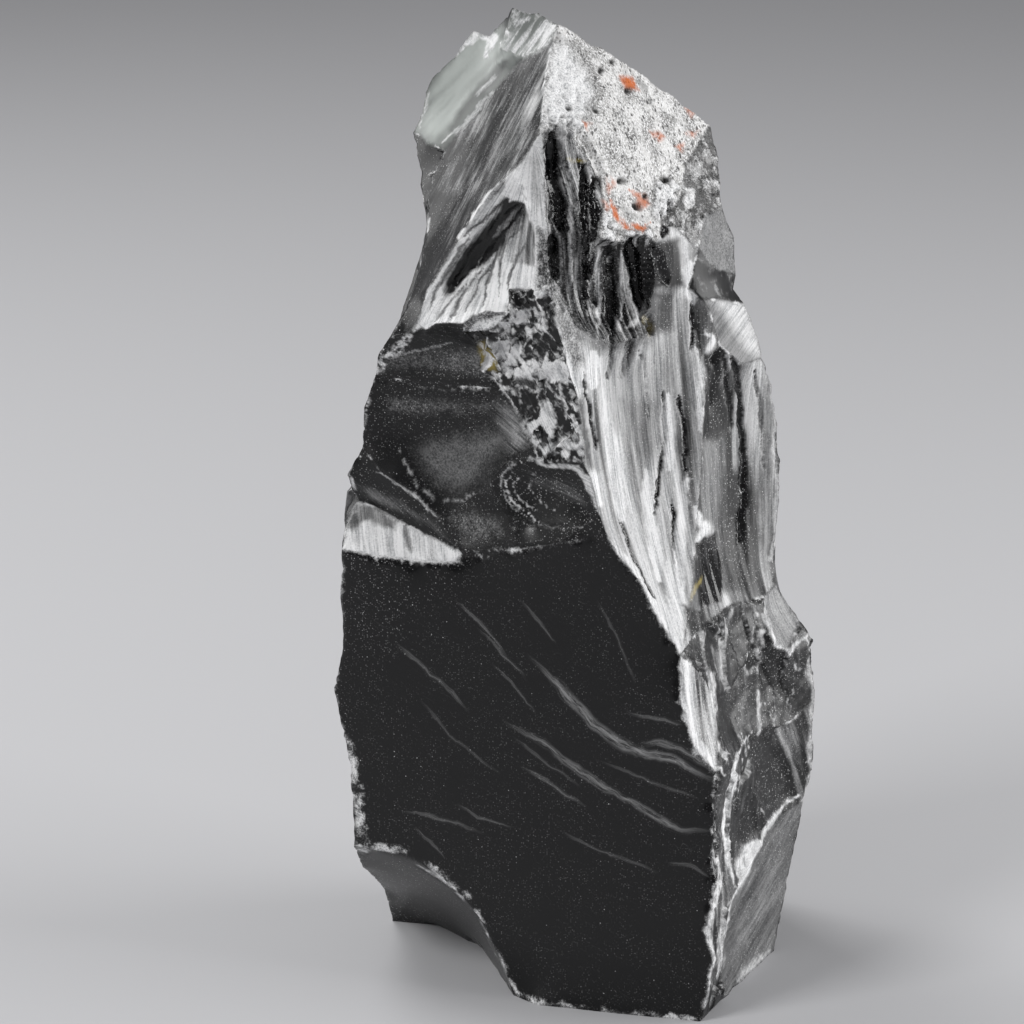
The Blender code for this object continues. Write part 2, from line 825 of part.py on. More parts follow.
def distance_to_line(place, line):
    nearest = math.inf
    for start, end in zip(line, line[1:]):
        start, end = Vector(start), Vector(end)
        along = end - start
        share = min(1.0, max(0.0, (place - start).dot(along) / along.length_squared))
        nearest = min(nearest, (place - start - share * along).length)
    return nearest


def bowl(distance, radius):
    """1 at the middle, falling smoothly to 0 at the radius."""
    share = min(1.0, distance / radius)
    return (1 - share * share) ** 2


def cut_depth(name, point):
    """How far the troughs and pockets of a facet take a point inwards."""
    place = on_sheet(point)
    depth = 0.0
    for facets, half_width, deepest, line in TROUGHS.values():
        if name in facets:
            depth += deepest * bowl(distance_to_line(place, line), 1.6 * half_width)
    if name == "rind":
        for across, up, radius, deepest in POCKETS:
            depth += deepest * bowl((place - Vector((across, up))).length, radius)
    return depth


def shape_facets(bm, facet_of):
    """Hollows every facet and cuts its troughs, leaving its ridges where they are."""
    faces = {number: [] for number in range(len(FACETS))}
    for face in bm.faces:
        faces[face[facet_of]].append(face)
    for number, (name, (_, depth, _, rough)) in enumerate(FACETS.items()):
        if name == "foot":
            continue
        inward = Vector((0, 0, 0))
        vertices = {}
        for face in faces[number]:
            inward -= face.normal * face.calc_area()
            vertices |= dict.fromkeys(face.verts)
        inward.normalize()
        inside = [v for v in vertices if all(f[facet_of] == number for f in v.link_faces)]
        for vertex, sag in hollow(inside, depth).items():
            push = sag + cut_depth(name, vertex.co)
            if rough:
                push += rough * noise.fractal(vertex.co * 0.23, 1.0, 2.0, 3)
            vertex.co += push * inward


def seat(bm):
    """Puts the middle of the foot's box at the origin and the foot at zero height."""
    low = [min(vertex.co[axis] for vertex in bm.verts) for axis in range(3)]
    high = [max(vertex.co[axis] for vertex in bm.verts) for axis in range(3)]
    middle = Vector(((low[0] + high[0]) / 2, (low[1] + high[1]) / 2, low[2]))
    bmesh.ops.translate(bm, verts=bm.verts, vec=-middle)


def stone_mesh():
    noise.seed_set(NOISE_SEED)
    bm = bmesh.new()
    facet_of = bm.faces.layers.int.new("facet")
    facet_map(bm, facet_of)
    limits = [limit for _, _, limit, _ in FACETS.values()]
    refine(bm, facet_of, limits)
    foot = list(FACETS).index("foot")
    wander(bm, facet_of, foot)
    relax(bm, bm.faces, facet_of, SMOOTHING_ROUNDS)
    bm.normal_update()
    shape_facets(bm, facet_of)
    seat(bm)
    bmesh.ops.transform(bm, matrix=Matrix.Scale(MM, 4), verts=bm.verts)
    mesh = bpy.data.meshes.new(NAME)
    bm.to_mesh(mesh)
    bm.free()
    return mesh


def obsidian():
    """Volcanic glass: near black, and shiny where the break is fresh."""
    material = bpy.data.materials.new("obsidian")
    material.use_nodes = True
    shader = material.node_tree.nodes["Principled BSDF"]
    shader.inputs["Base Color"].default_value = (0.012, 0.012, 0.013, 1)
    shader.inputs["Roughness"].default_value = 0.12
    shader.inputs["Metallic"].default_value = 0.0
    return material


def clear_scene():
    for item in list(bpy.data.objects):
        bpy.data.objects.remove(item, do_unlink=True)


clear_scene()
stone = bpy.data.objects.new(NAME, stone_mesh())
stone.data.materials.append(obsidian())
bpy.context.scene.collection.objects.link(stone)
stone.data.shade_smooth()
stone.data.set_sharp_from_angle(angle=math.radians(25))
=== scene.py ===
"""A standing chunk of obsidian on a plain pale floor, dressed for a close look."""

import math

import bmesh
import bpy
import numpy as np
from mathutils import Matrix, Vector, noise


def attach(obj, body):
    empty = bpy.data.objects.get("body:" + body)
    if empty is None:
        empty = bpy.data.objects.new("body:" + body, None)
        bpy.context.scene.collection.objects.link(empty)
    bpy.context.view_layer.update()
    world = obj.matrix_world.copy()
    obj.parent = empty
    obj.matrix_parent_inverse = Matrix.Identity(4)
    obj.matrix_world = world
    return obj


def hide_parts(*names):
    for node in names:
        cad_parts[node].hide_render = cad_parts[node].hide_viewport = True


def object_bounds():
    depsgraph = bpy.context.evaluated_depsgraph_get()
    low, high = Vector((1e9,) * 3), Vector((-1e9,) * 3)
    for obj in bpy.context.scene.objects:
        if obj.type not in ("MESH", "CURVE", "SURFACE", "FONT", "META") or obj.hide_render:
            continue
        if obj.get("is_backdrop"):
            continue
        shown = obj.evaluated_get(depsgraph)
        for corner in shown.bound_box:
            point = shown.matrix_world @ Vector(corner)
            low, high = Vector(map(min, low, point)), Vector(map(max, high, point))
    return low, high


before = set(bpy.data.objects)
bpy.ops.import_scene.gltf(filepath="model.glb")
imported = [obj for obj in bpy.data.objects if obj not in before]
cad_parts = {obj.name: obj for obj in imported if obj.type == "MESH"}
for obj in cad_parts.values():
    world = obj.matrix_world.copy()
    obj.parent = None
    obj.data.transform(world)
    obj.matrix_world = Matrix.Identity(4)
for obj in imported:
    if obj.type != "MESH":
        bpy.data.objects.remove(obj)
cad_low, cad_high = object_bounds()

# --- The view -------------------------------------------------------------------------------
# The eye stands 0.9 m in front of the stone and looks down on it by 18 degrees. Marks on the
# front are placed by column and row of the view's 1024 by 1024 squares, 4.4 to a millimetre.
EYE = Vector((-0.01485, -0.86392, 0.3886))
AIM = Vector((-0.01485, -0.00797, 0.1105))
LENS = 139.22
SENSOR = 36.0
SQUARES = 1024
NEAREST = 0.02

camera = bpy.data.objects.new("camera", bpy.data.cameras.new("camera"))
camera.data.lens = LENS
camera.data.sensor_width = SENSOR
camera.data.clip_start = NEAREST
camera.location = EYE
camera.rotation_euler = (AIM - EYE).to_track_quat("-Z", "Y").to_euler()
bpy.context.scene.collection.objects.link(camera)
bpy.context.scene.camera = camera
bpy.context.scene.view_settings.view_transform = "Standard"

# --- Floor and light ------------------------------------------------------------------------
# A plain pale sheet under the stone, lit by five soft studio panels. The panels are placed so
# that the stone's glassy facets mirror them: one behind and above, three on the left, one right.
FLOOR_SIDE = 6.0
FLOOR_TONE = "c4c4c6"
FLOOR_ROUGHNESS = 0.75
ROOM_TONE = "8c8c8e"
ROOM_STRENGTH = 0.8
PANEL_AIM = Vector((0, 0, 0.11))
# Each panel: its place, its side in metres and its radiance.
PANELS = {
    "panel_behind": ((-0.42, 0.46, 0.98), 0.50, 5.6),
    "panel_left": ((-0.66, -0.42, 0.84), 0.35, 12.5),
    "panel_right": ((1.00, -0.06, 0.37), 0.70, 6.6),
    "panel_low_left": ((-0.80, -0.62, 0.22), 0.42, 0.8),
    "panel_far_left": ((-1.05, 0.55, 0.45), 0.80, 1.5),
}


def linear(code):
    """An sRGB hex colour as linear red, green, blue and alpha."""
    parts = [int(code[i : i + 2], 16) / 255 for i in (0, 2, 4)]
    bent = [p / 12.92 if p <= 0.04045 else ((p + 0.055) / 1.055) ** 2.4 for p in parts]
    return (*bent, 1.0)


floor_bm = bmesh.new()
bmesh.ops.create_grid(floor_bm, x_segments=1, y_segments=1, size=FLOOR_SIDE / 2)
floor_mesh = bpy.data.meshes.new("floor")
floor_bm.to_mesh(floor_mesh)
floor_bm.free()
floor = bpy.data.objects.new("floor", floor_mesh)
bpy.context.scene.collection.objects.link(floor)
card = bpy.data.materials.new("matt_card")
card.use_nodes = True
card.node_tree.nodes["Principled BSDF"].inputs["Base Color"].default_value = linear(FLOOR_TONE)
card.node_tree.nodes["Principled BSDF"].inputs["Roughness"].default_value = FLOOR_ROUGHNESS
floor_mesh.materials.append(card)
floor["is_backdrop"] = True

for name, (place, side, radiance) in PANELS.items():
    panel = bpy.data.objects.new(name, bpy.data.lights.new(name, "AREA"))
    panel.data.size = side
    panel.data.energy = math.pi * radiance * side * side
    panel.location = place
    panel.rotation_euler = (PANEL_AIM - panel.location).to_track_quat("-Z", "Y").to_euler()
    panel.visible_camera = False
    bpy.context.scene.collection.objects.link(panel)

world = bpy.data.worlds.new("room")
world.use_nodes = True
world.node_tree.nodes["Background"].inputs["Color"].default_value = linear(ROOM_TONE)
world.node_tree.nodes["Background"].inputs["Strength"].default_value = ROOM_STRENGTH
bpy.context.scene.world = world

# --- The stone's body -----------------------------------------------------------------------
# One piece of volcanic glass, broken to a tall wedge. Its faces are the scars of struck flakes,
# each a shallow hollow that ends on sharp ridges. Nothing holds it: it stands on its flat foot.
# The front's facets, each with its outline in the view and its finest edge in millimetres.
FACETS = {
    "shell": (0.9, [(514, 8), (540, 14), (558, 23), (553, 39), (538, 52), (522, 58), (498, 50)]),
    "glass_facet": (1.3, [(415, 131), (423, 105), (430, 78), (452, 56), (474, 32), (489, 34),
        (503, 21), (514, 8), (498, 50), (522, 58), (500, 80), (481, 109), (461, 129), (445, 151),
        (428, 142)]),
    "blade": (0.9, [(415, 131), (428, 142), (445, 151), (432, 177), (428, 219), (421, 184)]),
    "satin_slope": (1.5, [(553, 39), (544, 85), (540, 131), (529, 151), (511, 173), (489, 195),
        (465, 226), (445, 261), (428, 289), (412, 333), (390, 338), (406, 307), (419, 270),
        (428, 219), (432, 177), (445, 151), (461, 129), (481, 109), (500, 80), (522, 58),
        (538, 52)]),
    "rind": (0.75, [(553, 39), (544, 85), (540, 131), (560, 122), (584, 151), (602, 179),
        (604, 206), (599, 237), (619, 241), (639, 232), (654, 241), (668, 221), (681, 193),
        (687, 160), (709, 124), (674, 98), (630, 65), (591, 43), (558, 23)]),
    "frost": (0.7, [(540, 131), (529, 151), (511, 173), (522, 186), (536, 230), (533, 289),
        (549, 285), (547, 234), (544, 160)]),
    "bright_scar": (0.7, [(511, 173), (489, 195), (465, 226), (445, 261), (428, 289),
        (412, 333), (437, 325), (463, 322), (474, 316), (485, 311), (507, 311), (509, 289),
        (533, 289), (536, 230), (522, 186)]),
    "lens": (0.7, [(507, 311), (485, 311), (474, 316), (463, 322), (465, 333), (496, 327)]),
    "ledge": (0.8, [(390, 338), (412, 333), (437, 325), (463, 322), (465, 333), (483, 349),
        (481, 371), (500, 388), (470, 386), (441, 384), (375, 377), (377, 353)]),
    "crushed": (0.7, [(509, 289), (533, 289), (549, 285), (555, 320), (564, 351), (553, 371),
        (520, 373), (481, 371), (483, 349), (465, 333), (496, 327), (507, 311)]),
    "hackle": (0.75, [(481, 371), (520, 373), (553, 371), (564, 351), (577, 399), (584, 446),
        (586, 465), (564, 461), (540, 461), (531, 441), (520, 419), (511, 402), (500, 388)]),
    "oval_scar": (0.9, [(540, 461), (564, 461), (586, 465), (595, 494), (599, 518), (582, 527),
        (553, 527), (529, 525), (509, 514), (496, 501), (492, 485), (505, 465)]),
    "sill": (0.9, [(509, 514), (529, 525), (553, 527), (582, 527), (599, 518), (606, 536),
        (560, 542), (520, 549)]),
    "sheen_dish": (1.3, [(375, 377), (441, 384), (470, 386), (500, 388), (511, 402), (520, 419),
        (531, 441), (540, 461), (505, 465), (492, 485), (496, 501), (509, 514), (520, 549),
        (463, 553), (441, 520), (410, 490), (379, 470), (362, 448), (364, 406)]),
    "wedge": (0.9, [(463, 553), (441, 520), (410, 490), (379, 470), (362, 448), (346, 474),
        (357, 501), (373, 505), (399, 520)]),
    "white_chip": (0.75, [(463, 553), (399, 520), (373, 505), (357, 501), (346, 525),
        (342, 549), (375, 556), (410, 560), (454, 562)]),
    "broad_face": (2.2, [(520, 549), (560, 542), (606, 536), (639, 580), (657, 615), (681, 655),
        (681, 701), (696, 749), (716, 771), (714, 850), (718, 881), (705, 930), (712, 965),
        (700, 1022), (621, 1014), (538, 1005), (514, 995), (503, 965), (492, 941), (476, 910),
        (450, 881), (426, 866), (399, 853), (353, 846), (353, 815), (349, 765), (333, 688),
        (344, 648), (340, 591), (342, 549), (375, 556), (410, 560), (454, 562), (463, 553)]),
    "undercut": (1.7, [(514, 995), (503, 965), (492, 941), (476, 910), (450, 881), (426, 866),
        (399, 853), (353, 846), (362, 866), (384, 888), (388, 903), (393, 921), (437, 925),
        (480, 945)]),
    "columns": (0.7, [(540, 131), (560, 122), (584, 151), (602, 179), (604, 206), (599, 237),
        (619, 241), (639, 232), (654, 241), (652, 289), (646, 338), (606, 344), (577, 325),
        (549, 285), (547, 234), (544, 160)]),
    "flutes": (0.8, [(549, 285), (555, 320), (564, 351), (577, 399), (584, 446), (586, 465),
        (595, 494), (599, 518), (606, 536), (639, 580), (657, 615), (681, 655), (692, 600),
        (698, 520), (705, 384), (694, 336), (687, 289), (698, 248), (668, 221), (654, 241),
        (652, 289), (646, 338), (606, 344), (577, 325)]),
    "rough_side": (0.8, [(668, 221), (681, 193), (687, 160), (709, 124), (718, 160), (723, 208),
        (705, 212), (698, 248)]),
    "grey_facet": (1.0, [(705, 212), (723, 208), (734, 237), (736, 274), (716, 270),
        (698, 248)]),
    "nick_facet": (0.9, [(687, 289), (698, 248), (716, 270), (736, 274), (734, 289), (745, 303),
        (705, 298)]),
    "flake": (0.9, [(705, 298), (745, 303), (753, 322), (762, 358), (740, 364), (720, 344)]),
    "panel": (0.85, [(681, 655), (692, 600), (698, 520), (705, 384), (694, 336), (687, 289),
        (705, 298), (720, 344), (740, 364), (762, 358), (771, 384), (780, 461), (780, 490),
        (773, 560), (775, 584), (762, 597), (729, 604), (703, 626)]),
    "notch_scar": (0.9, [(762, 597), (775, 584), (789, 604), (800, 622), (786, 650),
        (771, 639)]),
    "strip": (0.8, [(681, 655), (681, 701), (696, 749), (716, 771), (716, 705), (703, 672)]),
    "block": (0.85, [(681, 655), (703, 626), (729, 604), (762, 597), (771, 639), (786, 650),
        (800, 622), (813, 639), (813, 701), (791, 723), (749, 736), (734, 762), (716, 771),
        (716, 705), (703, 672)]),
    "leaf": (0.9, [(749, 736), (791, 723), (813, 701), (813, 760), (804, 798), (769, 824),
        (751, 784)]),
    "low_rib": (0.9, [(716, 771), (734, 762), (749, 736), (751, 784), (769, 824), (749, 866),
        (729, 905), (723, 941), (720, 1001), (700, 1022), (712, 965), (705, 930), (718, 881),
        (714, 850)]),
    "low_facet": (1.2, [(804, 798), (769, 824), (749, 866), (729, 905), (723, 941),
        (720, 1001), (747, 975), (773, 950), (784, 901), (797, 831)]),
}
HIDDEN_EDGE = 3.4
PASSES = 40
HIDDEN_CREASE = math.radians(14)
# Each stage: the finest edge that it makes, in millimetres, and its rounds of smoothing.
STAGES = ((3.0, 12), (1.8, 10), (1.0, 6), (0.0, 3))
SMOOTHING = 0.5
NOISE_SEED = 11
WELD = 1e-6
RIDGE_SHARPNESS = math.radians(27)
MM = 0.001
ALL = 1.0

forward = (AIM - EYE).normalized()
right = Vector((1, 0, 0))
upward = right.cross(forward)


def square_of(point):
    """The column and row of the view at which a point is seen."""
    ray = point - EYE
    scale = LENS / SENSOR * SQUARES / ray.dot(forward)
    return SQUARES / 2 + scale * ray.dot(right), SQUARES / 2 - scale * ray.dot(upward)


def encloses(outline, column, row):
    """True if the outline goes round the place."""
    inside = False
    for (x0, y0), (x1, y1) in zip(outline, outline[1:] + outline[:1]):
        if (y0 > row) != (y1 > row) and column < x0 + (row - y0) * (x1 - x0) / (y1 - y0):
            inside = not inside
    return inside


def name_facets(bm, facet_of):
    """Numbers the front's facets by their outlines and the hidden ones by the creases between."""
    for face in bm.faces:
        centre = face.calc_center_median()
        face[facet_of] = -1
        if face.normal.dot(centre - EYE) < 0:
            column, row = square_of(centre)
            for number, (_, outline) in enumerate(FACETS.values()):
                if encloses(outline, column, row):
                    face[facet_of] = number
                    break
    number = len(FACETS)
    for first in bm.faces:
        if first[facet_of] != -1:
            continue
        first[facet_of] = number
        found = [first]
        while found:
            for edge in found.pop().edges:
                if edge.calc_face_angle(0) < HIDDEN_CREASE:
                    for face in edge.link_faces:
                        if face[facet_of] == -1:
                            face[facet_of] = number
                            found.append(face)
        number += 1
    return number


def is_ridge(edge, facet_of):
    """True if the edge parts two facets."""
    one, two = edge.link_faces
    return one[facet_of] != two[facet_of]


def halve(bm, facet_of, edges_of, least):
    """Halves the long edges, the longest first and one for each triangle, until none is left."""
    for _ in range(PASSES):
        long = []
        for edge in bm.edges:
            limit = min(edges_of[face[facet_of]] for face in edge.link_faces) * MM
            length = edge.calc_length()
            if length > max(limit, least * MM):
                long.append((length, edge))
        if not long:
            break
        long.sort(key=lambda pair: -pair[0])
        used = set()
        chosen = []
        for _, edge in long:
            if used.isdisjoint(edge.link_faces):
                used.update(edge.link_faces)
                chosen.append(edge)
        bmesh.ops.subdivide_edges(bm, edges=chosen, cuts=1, use_single_edge=True)


def refine(bm, facet_of, edges_of):
    """Fills every facet with fine triangles and lets each hollow settle between its ridges."""
    for least, rounds in STAGES:
        halve(bm, facet_of, edges_of, least)
        held = {v for e in bm.edges if is_ridge(e, facet_of) for v in e.verts}
        free = [v for v in bm.verts if v not in held]
        for _ in range(rounds):
            bmesh.ops.smooth_vert(bm, verts=free, factor=SMOOTHING, use_axis_x=True,
                use_axis_y=True, use_axis_z=True)


noise.seed_set(NOISE_SEED)
bm = bmesh.new()
bm.from_mesh(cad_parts["obsidian_chunk"].data)
bmesh.ops.remove_doubles(bm, verts=bm.verts, dist=WELD)
bm.normal_update()
facet_of = bm.faces.layers.int.new("facet")
facet_count = name_facets(bm, facet_of)
facet_names = list(FACETS) + [f"hidden_{n}" for n in range(facet_count - len(FACETS))]
edges_of = [limit for limit, _ in FACETS.values()]
edges_of += [HIDDEN_EDGE] * (facet_count - len(FACETS))
refine(bm, facet_of, edges_of)
bm.normal_update()

# Every point of the fine skin: where it is, which way it faces, where the view sees it, and how
# much of it belongs to each facet. A point on a ridge is shared by the facets that meet there.
points = [v.co.copy() for v in bm.verts]
facing = np.array([v.normal[:] for v in bm.verts])
seen = np.array([square_of(p) for p in points])
col, row = seen[:, 0], seen[:, 1]
share = {name: np.zeros(len(points)) for name in facet_names}
crest = np.zeros(len(points), bool)
for vertex in bm.verts:
    around = [face[facet_of] for face in vertex.link_faces]
    crest[vertex.index] = len(set(around)) > 1
    for number in around:
        share[facet_names[number]][vertex.index] += 1 / len(around)
front = sum(share[name] for name in FACETS)


def on(*names):
    """How much of each point belongs to these facets."""
    return sum(share[name] for name in names)


def cloud(size, layers=2, seed=0.0, stretch=(1, 1, 1)):
    """Soft noise through the stone, -1 to 1, with lumps of a size in millimetres."""
    scale = Vector(stretch) / (size * MM)
    shift = Vector((seed, 3.1 * seed, 7.3 * seed))
    return np.array([noise.fractal(p * scale + shift, 0.9, 2.1, layers) for p in points])


def grained(across, along, seed=0.0):
    """Soft noise drawn out along the grain, with streaks of a width and length in millimetres."""
    return np.array([
        noise.fractal(Vector((u / across, v / along, seed)), 0.9, 2.1, 3) for u, v in grain[:, :2]
    ])


def reach(line):
    """For each point: the distance to a line in the view, its side, and how far along it is."""
    best = np.full(len(col), 1e9)
    side = np.ones(len(col))
    along = np.zeros(len(col))
    start = 0.0
    for (x0, y0), (x1, y1) in zip(line, line[1:]):
        dx, dy = x1 - x0, y1 - y0
        length = math.hypot(dx, dy)
        part = np.clip(((col - x0) * dx + (row - y0) * dy) / length**2, 0, 1)
        gap = np.hypot(col - x0 - part * dx, row - y0 - part * dy)
        nearer = gap < best
        turn = dx * (row - y0) - dy * (col - x0)
        best = np.where(nearer, gap, best)
        side = np.where(nearer, np.where(turn < 0, -1.0, 1.0), side)
        along = np.where(nearer, start + part * length, along)
        start += length
    return best, side, along, start


def stroke(half_width, line, tip=0.25):
    """1 along a line in the view, 0 beyond its half width, narrowing towards its tips."""
    gap, _, along, length = reach(line)
    ends = np.clip(np.minimum(along, length - along) / (tip * length + 1e-6), 0.15, 1) ** 0.5
    return np.clip(1.6 * (1 - gap / (half_width * ends)), 0, 1)


def patch(soft, outline):
    """1 inside an outline in the view, 0 outside it, with an edge as soft as is asked."""
    gap = reach(outline + outline[:1])[0]
    inside = np.zeros(len(col), bool)
    for (x0, y0), (x1, y1) in zip(outline, outline[1:] + outline[:1]):
        if y0 != y1:
            inside ^= ((y0 > row) != (y1 > row)) & (col < x0 + (row - y0) * (x1 - x0) / (y1 - y0))
    return np.clip(0.5 + np.where(inside, gap, -gap) / soft, 0, 1)


def lay(field, value, mask, *names):
    """Brings a field towards a value where the mask is, on these facets or on all the front."""
    field += (value - field) * mask * (on(*names) if names else front)


def marks(field, names, rows):
    """Lays strokes and patches in turn: each has its value, its shape, its width and its line."""
    for value, shape, width, line in rows:
        lay(field, value, shape(width, line), *names)


# The grain: a place across and along the way in which the glass tore, in millimetres. It runs
# down the fluted side, fans out from the bright scar's head and slants across the other facets.
LEANS = {"satin_slope": -0.5, "glass_facet": -0.9, "low_facet": -0.55, "broad_face": 1.7,
    "sheen_dish": 1.2, "ledge": 4.0, "white_chip": 0.1, "leaf": 0.3, "block": 0.1, "flake": -0.7,
    "rind": 0.8, "wedge": 1.0, "crushed": 0.6, "shell": -0.7, "hackle": 0.5, "oval_scar": 2.0}
SCAR_HEAD = (533, 142)
PER_MM = 4.4
FAN_SPREAD = 25
lean = sum(share[name] * value for name, value in LEANS.items())
fan = on("bright_scar", "frost", "lens")
side_lean = 0.15 * np.clip((690 - col) / 110, -0.5, 1)
grain = np.zeros((len(points), 3))
grain[:, 0] = (col - lean * row) / np.sqrt(1 + lean**2) / PER_MM
grain[:, 1] = (row + lean * col) / np.sqrt(1 + lean**2) / PER_MM
stone_place = np.array([p[:] for p in points]) / MM
for name in ("columns", "flutes", "strip", "panel", "rough_side", "block", "low_rib", "notch_scar"):
    members = share[name] > 0.5
    mean = facing[members].mean(axis=0)
    tangent = Vector(mean).cross(Vector((0, 0, 1))).normalized()
    grain[members, 0] = -(stone_place @ np.array(tangent))[members] - (
        side_lean * (row - 340))[members] / PER_MM
    grain[members, 1] = -stone_place[members, 2]
turn = np.arctan2(col - SCAR_HEAD[0], row - SCAR_HEAD[1])
away = np.hypot(col - SCAR_HEAD[0], row - SCAR_HEAD[1])
grain[fan > 0.5, 0] = FAN_SPREAD * turn[fan > 0.5]
grain[fan > 0.5, 1] = away[fan > 0.5] / PER_MM

# No mark on glass has a ruled edge: the view's squares are shaken a little before use.
col = col + 2.4 * cloud(5.0, 2, 51.0) + 1.3 * cloud(1.4, 2, 52.0)
row = row + 2.4 * cloud(5.0, 2, 53.0) + 1.3 * cloud(1.4, 2, 54.0)

# What is painted on the stone: its relief in millimetres, and nine shares from 0 to 1.
# The frost share carries real frost on torn and crushed glass, and also painted sheen and
# highlights; pale is a painted reflection and glow.
relief, frost, rind, rust, amber = np.zeros((5, len(points)))
pale, satin, dust, streaky, shade = np.zeros((5, len(points)))

# --- Hidden scars ---------------------------------------------------------------------------
# The sides and back, broken like the front: each flake's scar keeps the ripples of the blow that
# spread from one point of its rim, and fine torn lines that run away from the same point.
RIPPLE = 0.16
RIPPLE_STEP = 5.5
RIPPLE_FADE = 60
LEAST_POINTS = 60
BLOW_INSET = 0.02
TURN_SPREAD = 30
from_blow = np.zeros(len(points))
for name in facet_names[len(FACETS):]:
    members = np.nonzero(share[name] > 0)[0]
    if len(members) < LEAST_POINTS:
        continue
    struck = max(members, key=lambda i: points[i].z)
    lengths = np.array([(points[i] - points[struck]).length / MM for i in members])
    bend = np.array([math.atan2(points[i].z - points[struck].z - BLOW_INSET,
        (points[i] - points[struck]).xy.length * (1 if points[i].x > points[struck].x else -1))
        for i in members])
    grain[members, 0] = TURN_SPREAD * bend
    grain[members, 1] = lengths
    from_blow[members] = lengths
    waves = np.sin(2 * math.pi * (lengths / RIPPLE_STEP) ** 0.8)
    relief[members] += RIPPLE * waves * share[name][members] * np.exp(-lengths / RIPPLE_FADE)
hidden = 1 - front
streaky += hidden
satin += hidden * np.clip(0.25 + 0.7 * cloud(22, 2, 9.0), 0, 0.8)
frost += (hidden * np.clip(from_blow / 15, 0, 1)
    * np.clip(0.10 + 0.3 * cloud(30, 2, 4.0) + 0.25 * grained(2.0, 30, 72.0), 0, 0.5))
dust += 0.25 * hidden

# --- The broad face -------------------------------------------------------------------------
# The largest scar: almost flat, jet black and mirror smooth. Its left and lower rims are
# crushed to white crumbs, and faint grey wisps lie in the glass, drawn out as the lava flowed.
RIM_CRUMBS = [
    (13, [(341, 740), (348, 770), (353, 790), (352, 815), (356, 842), (364, 850)]),
    (7, [(344, 752), (360, 790), (358, 820), (366, 846)]),
    (6, [(353, 845), (400, 851), (426, 866), (452, 883), (477, 910)]),
    (5, [(477, 910), (492, 940), (505, 965), (513, 988)]),
    (4, [(340, 560), (341, 620), (336, 660), (333, 690), (342, 735)]),
    (4, [(681, 655), (683, 705), (697, 750), (716, 772), (714, 850), (718, 880)]),
    (3, [(718, 880), (706, 930), (712, 965), (704, 1000)]),
    (4, [(513, 990), (545, 1004), (621, 1013), (700, 1020)]),
    (3, [(376, 378), (366, 410), (362, 446), (348, 474), (358, 500)]),
    (3, [(606, 536), (640, 581), (657, 616), (681, 655)]),
    (2, [(346, 549), (376, 556), (410, 560), (455, 562), (520, 549), (560, 542), (606, 536)]),
]
crumb = cloud(1.6, 2, 2.0)
rim_runs = cloud(7.0, 2, 55.0)
relief += on("broad_face") * 0.10 * cloud(28, 2, 5.0)
for half, line in RIM_CRUMBS:
    near = stroke(half, line, 0.05) * np.clip(0.75 + 1.3 * rim_runs, 0.15, 1)
    crushed = np.clip(near * (0.7 + 1.2 * crumb), 0, 1)
    lay(frost, 1.0, crushed, "broad_face", "undercut", "white_chip", "low_rib", "strip",
        "sheen_dish", "wedge")
    relief -= 0.5 * near * np.clip(0.4 + crumb, 0, 1)
upper_left = np.clip((1050 - row - 0.9 * col) / 420, 0, 1)
lay(dust, 0.2, ALL, "broad_face")
lay(dust, 1.0, np.clip(upper_left * 1.3, 0, 1), "broad_face")
lay(dust, 0.6, ALL, "undercut", "sheen_dish", "wedge", "ledge", "low_facet",
    "satin_slope", "blade")
WISPS = (
    [
        (1.0, [(528, 655, 1.5), (547, 674, 2), (560, 687, 4), (579, 707, 4.5), (593, 725, 4),
            (608, 736, 5), (626, 747, 5), (644, 753, 4), (667, 757, 4), (685, 765, 3.5),
            (700, 773, 3), (718, 783, 2.5)]),
        (0.75, [(503, 719, 1.5), (519, 730, 2), (542, 743, 3), (560, 757, 3), (575, 768, 3.5),
            (595, 781, 3), (623, 798, 3), (646, 810, 3.5), (667, 823, 4), (682, 831, 3),
            (715, 831, 2)]),
        (0.5, [(455, 600, 1), (483, 625, 1.8), (509, 659, 1.2)]),
        (0.45, [(395, 643, 1.2), (412, 656, 2), (429, 671, 2), (470, 712, 1.2)]),
        (0.45, [(401, 812, 1), (432, 817, 2), (457, 824, 1.5), (480, 832, 1)]),
        (0.4, [(669, 864, 1), (692, 867, 1.8), (710, 878, 1.5)]),
    ],
    [
        (0.7, [(640, 744, 2), (660, 742, 3), (680, 748, 3.5), (700, 760, 3), (716, 772, 2)]),
        (0.5, [(521, 766, 1), (547, 781, 2), (567, 795, 2), (588, 807, 1.2)]),
        (0.45, [(479, 628, 1), (498, 650, 1.6), (526, 676, 1.2)]),
        (0.4, [(521, 600, 1), (539, 620, 1.6), (556, 642, 1)]),
        (0.45, [(457, 804, 1), (480, 819, 1.5), (514, 826, 1)]),
        (0.3, [(596, 600, 1), (618, 640, 1.5), (636, 684, 1)]),
    ],
    [
        (0.35, [(514, 738, 1), (545, 762, 1.6), (582, 786, 1)]),
        (0.5, [(627, 713, 1.2), (656, 719, 2), (684, 725, 1.5)]),
        (0.4, [(493, 664, 1), (510, 682, 1.5), (536, 712, 1)]),
        (0.4, [(414, 828, 1), (430, 840, 1.5), (445, 858, 1)]),
        (0.35, [(600, 760, 1), (640, 778, 1.8), (700, 800, 1)]),
        (0.35, [(560, 830, 1), (600, 850, 1.5), (660, 872, 1)]),
        (0.3, [(420, 700, 1), (450, 735, 1.5), (500, 775, 1)]),
    ],
)
WISP_REACH = 16.0


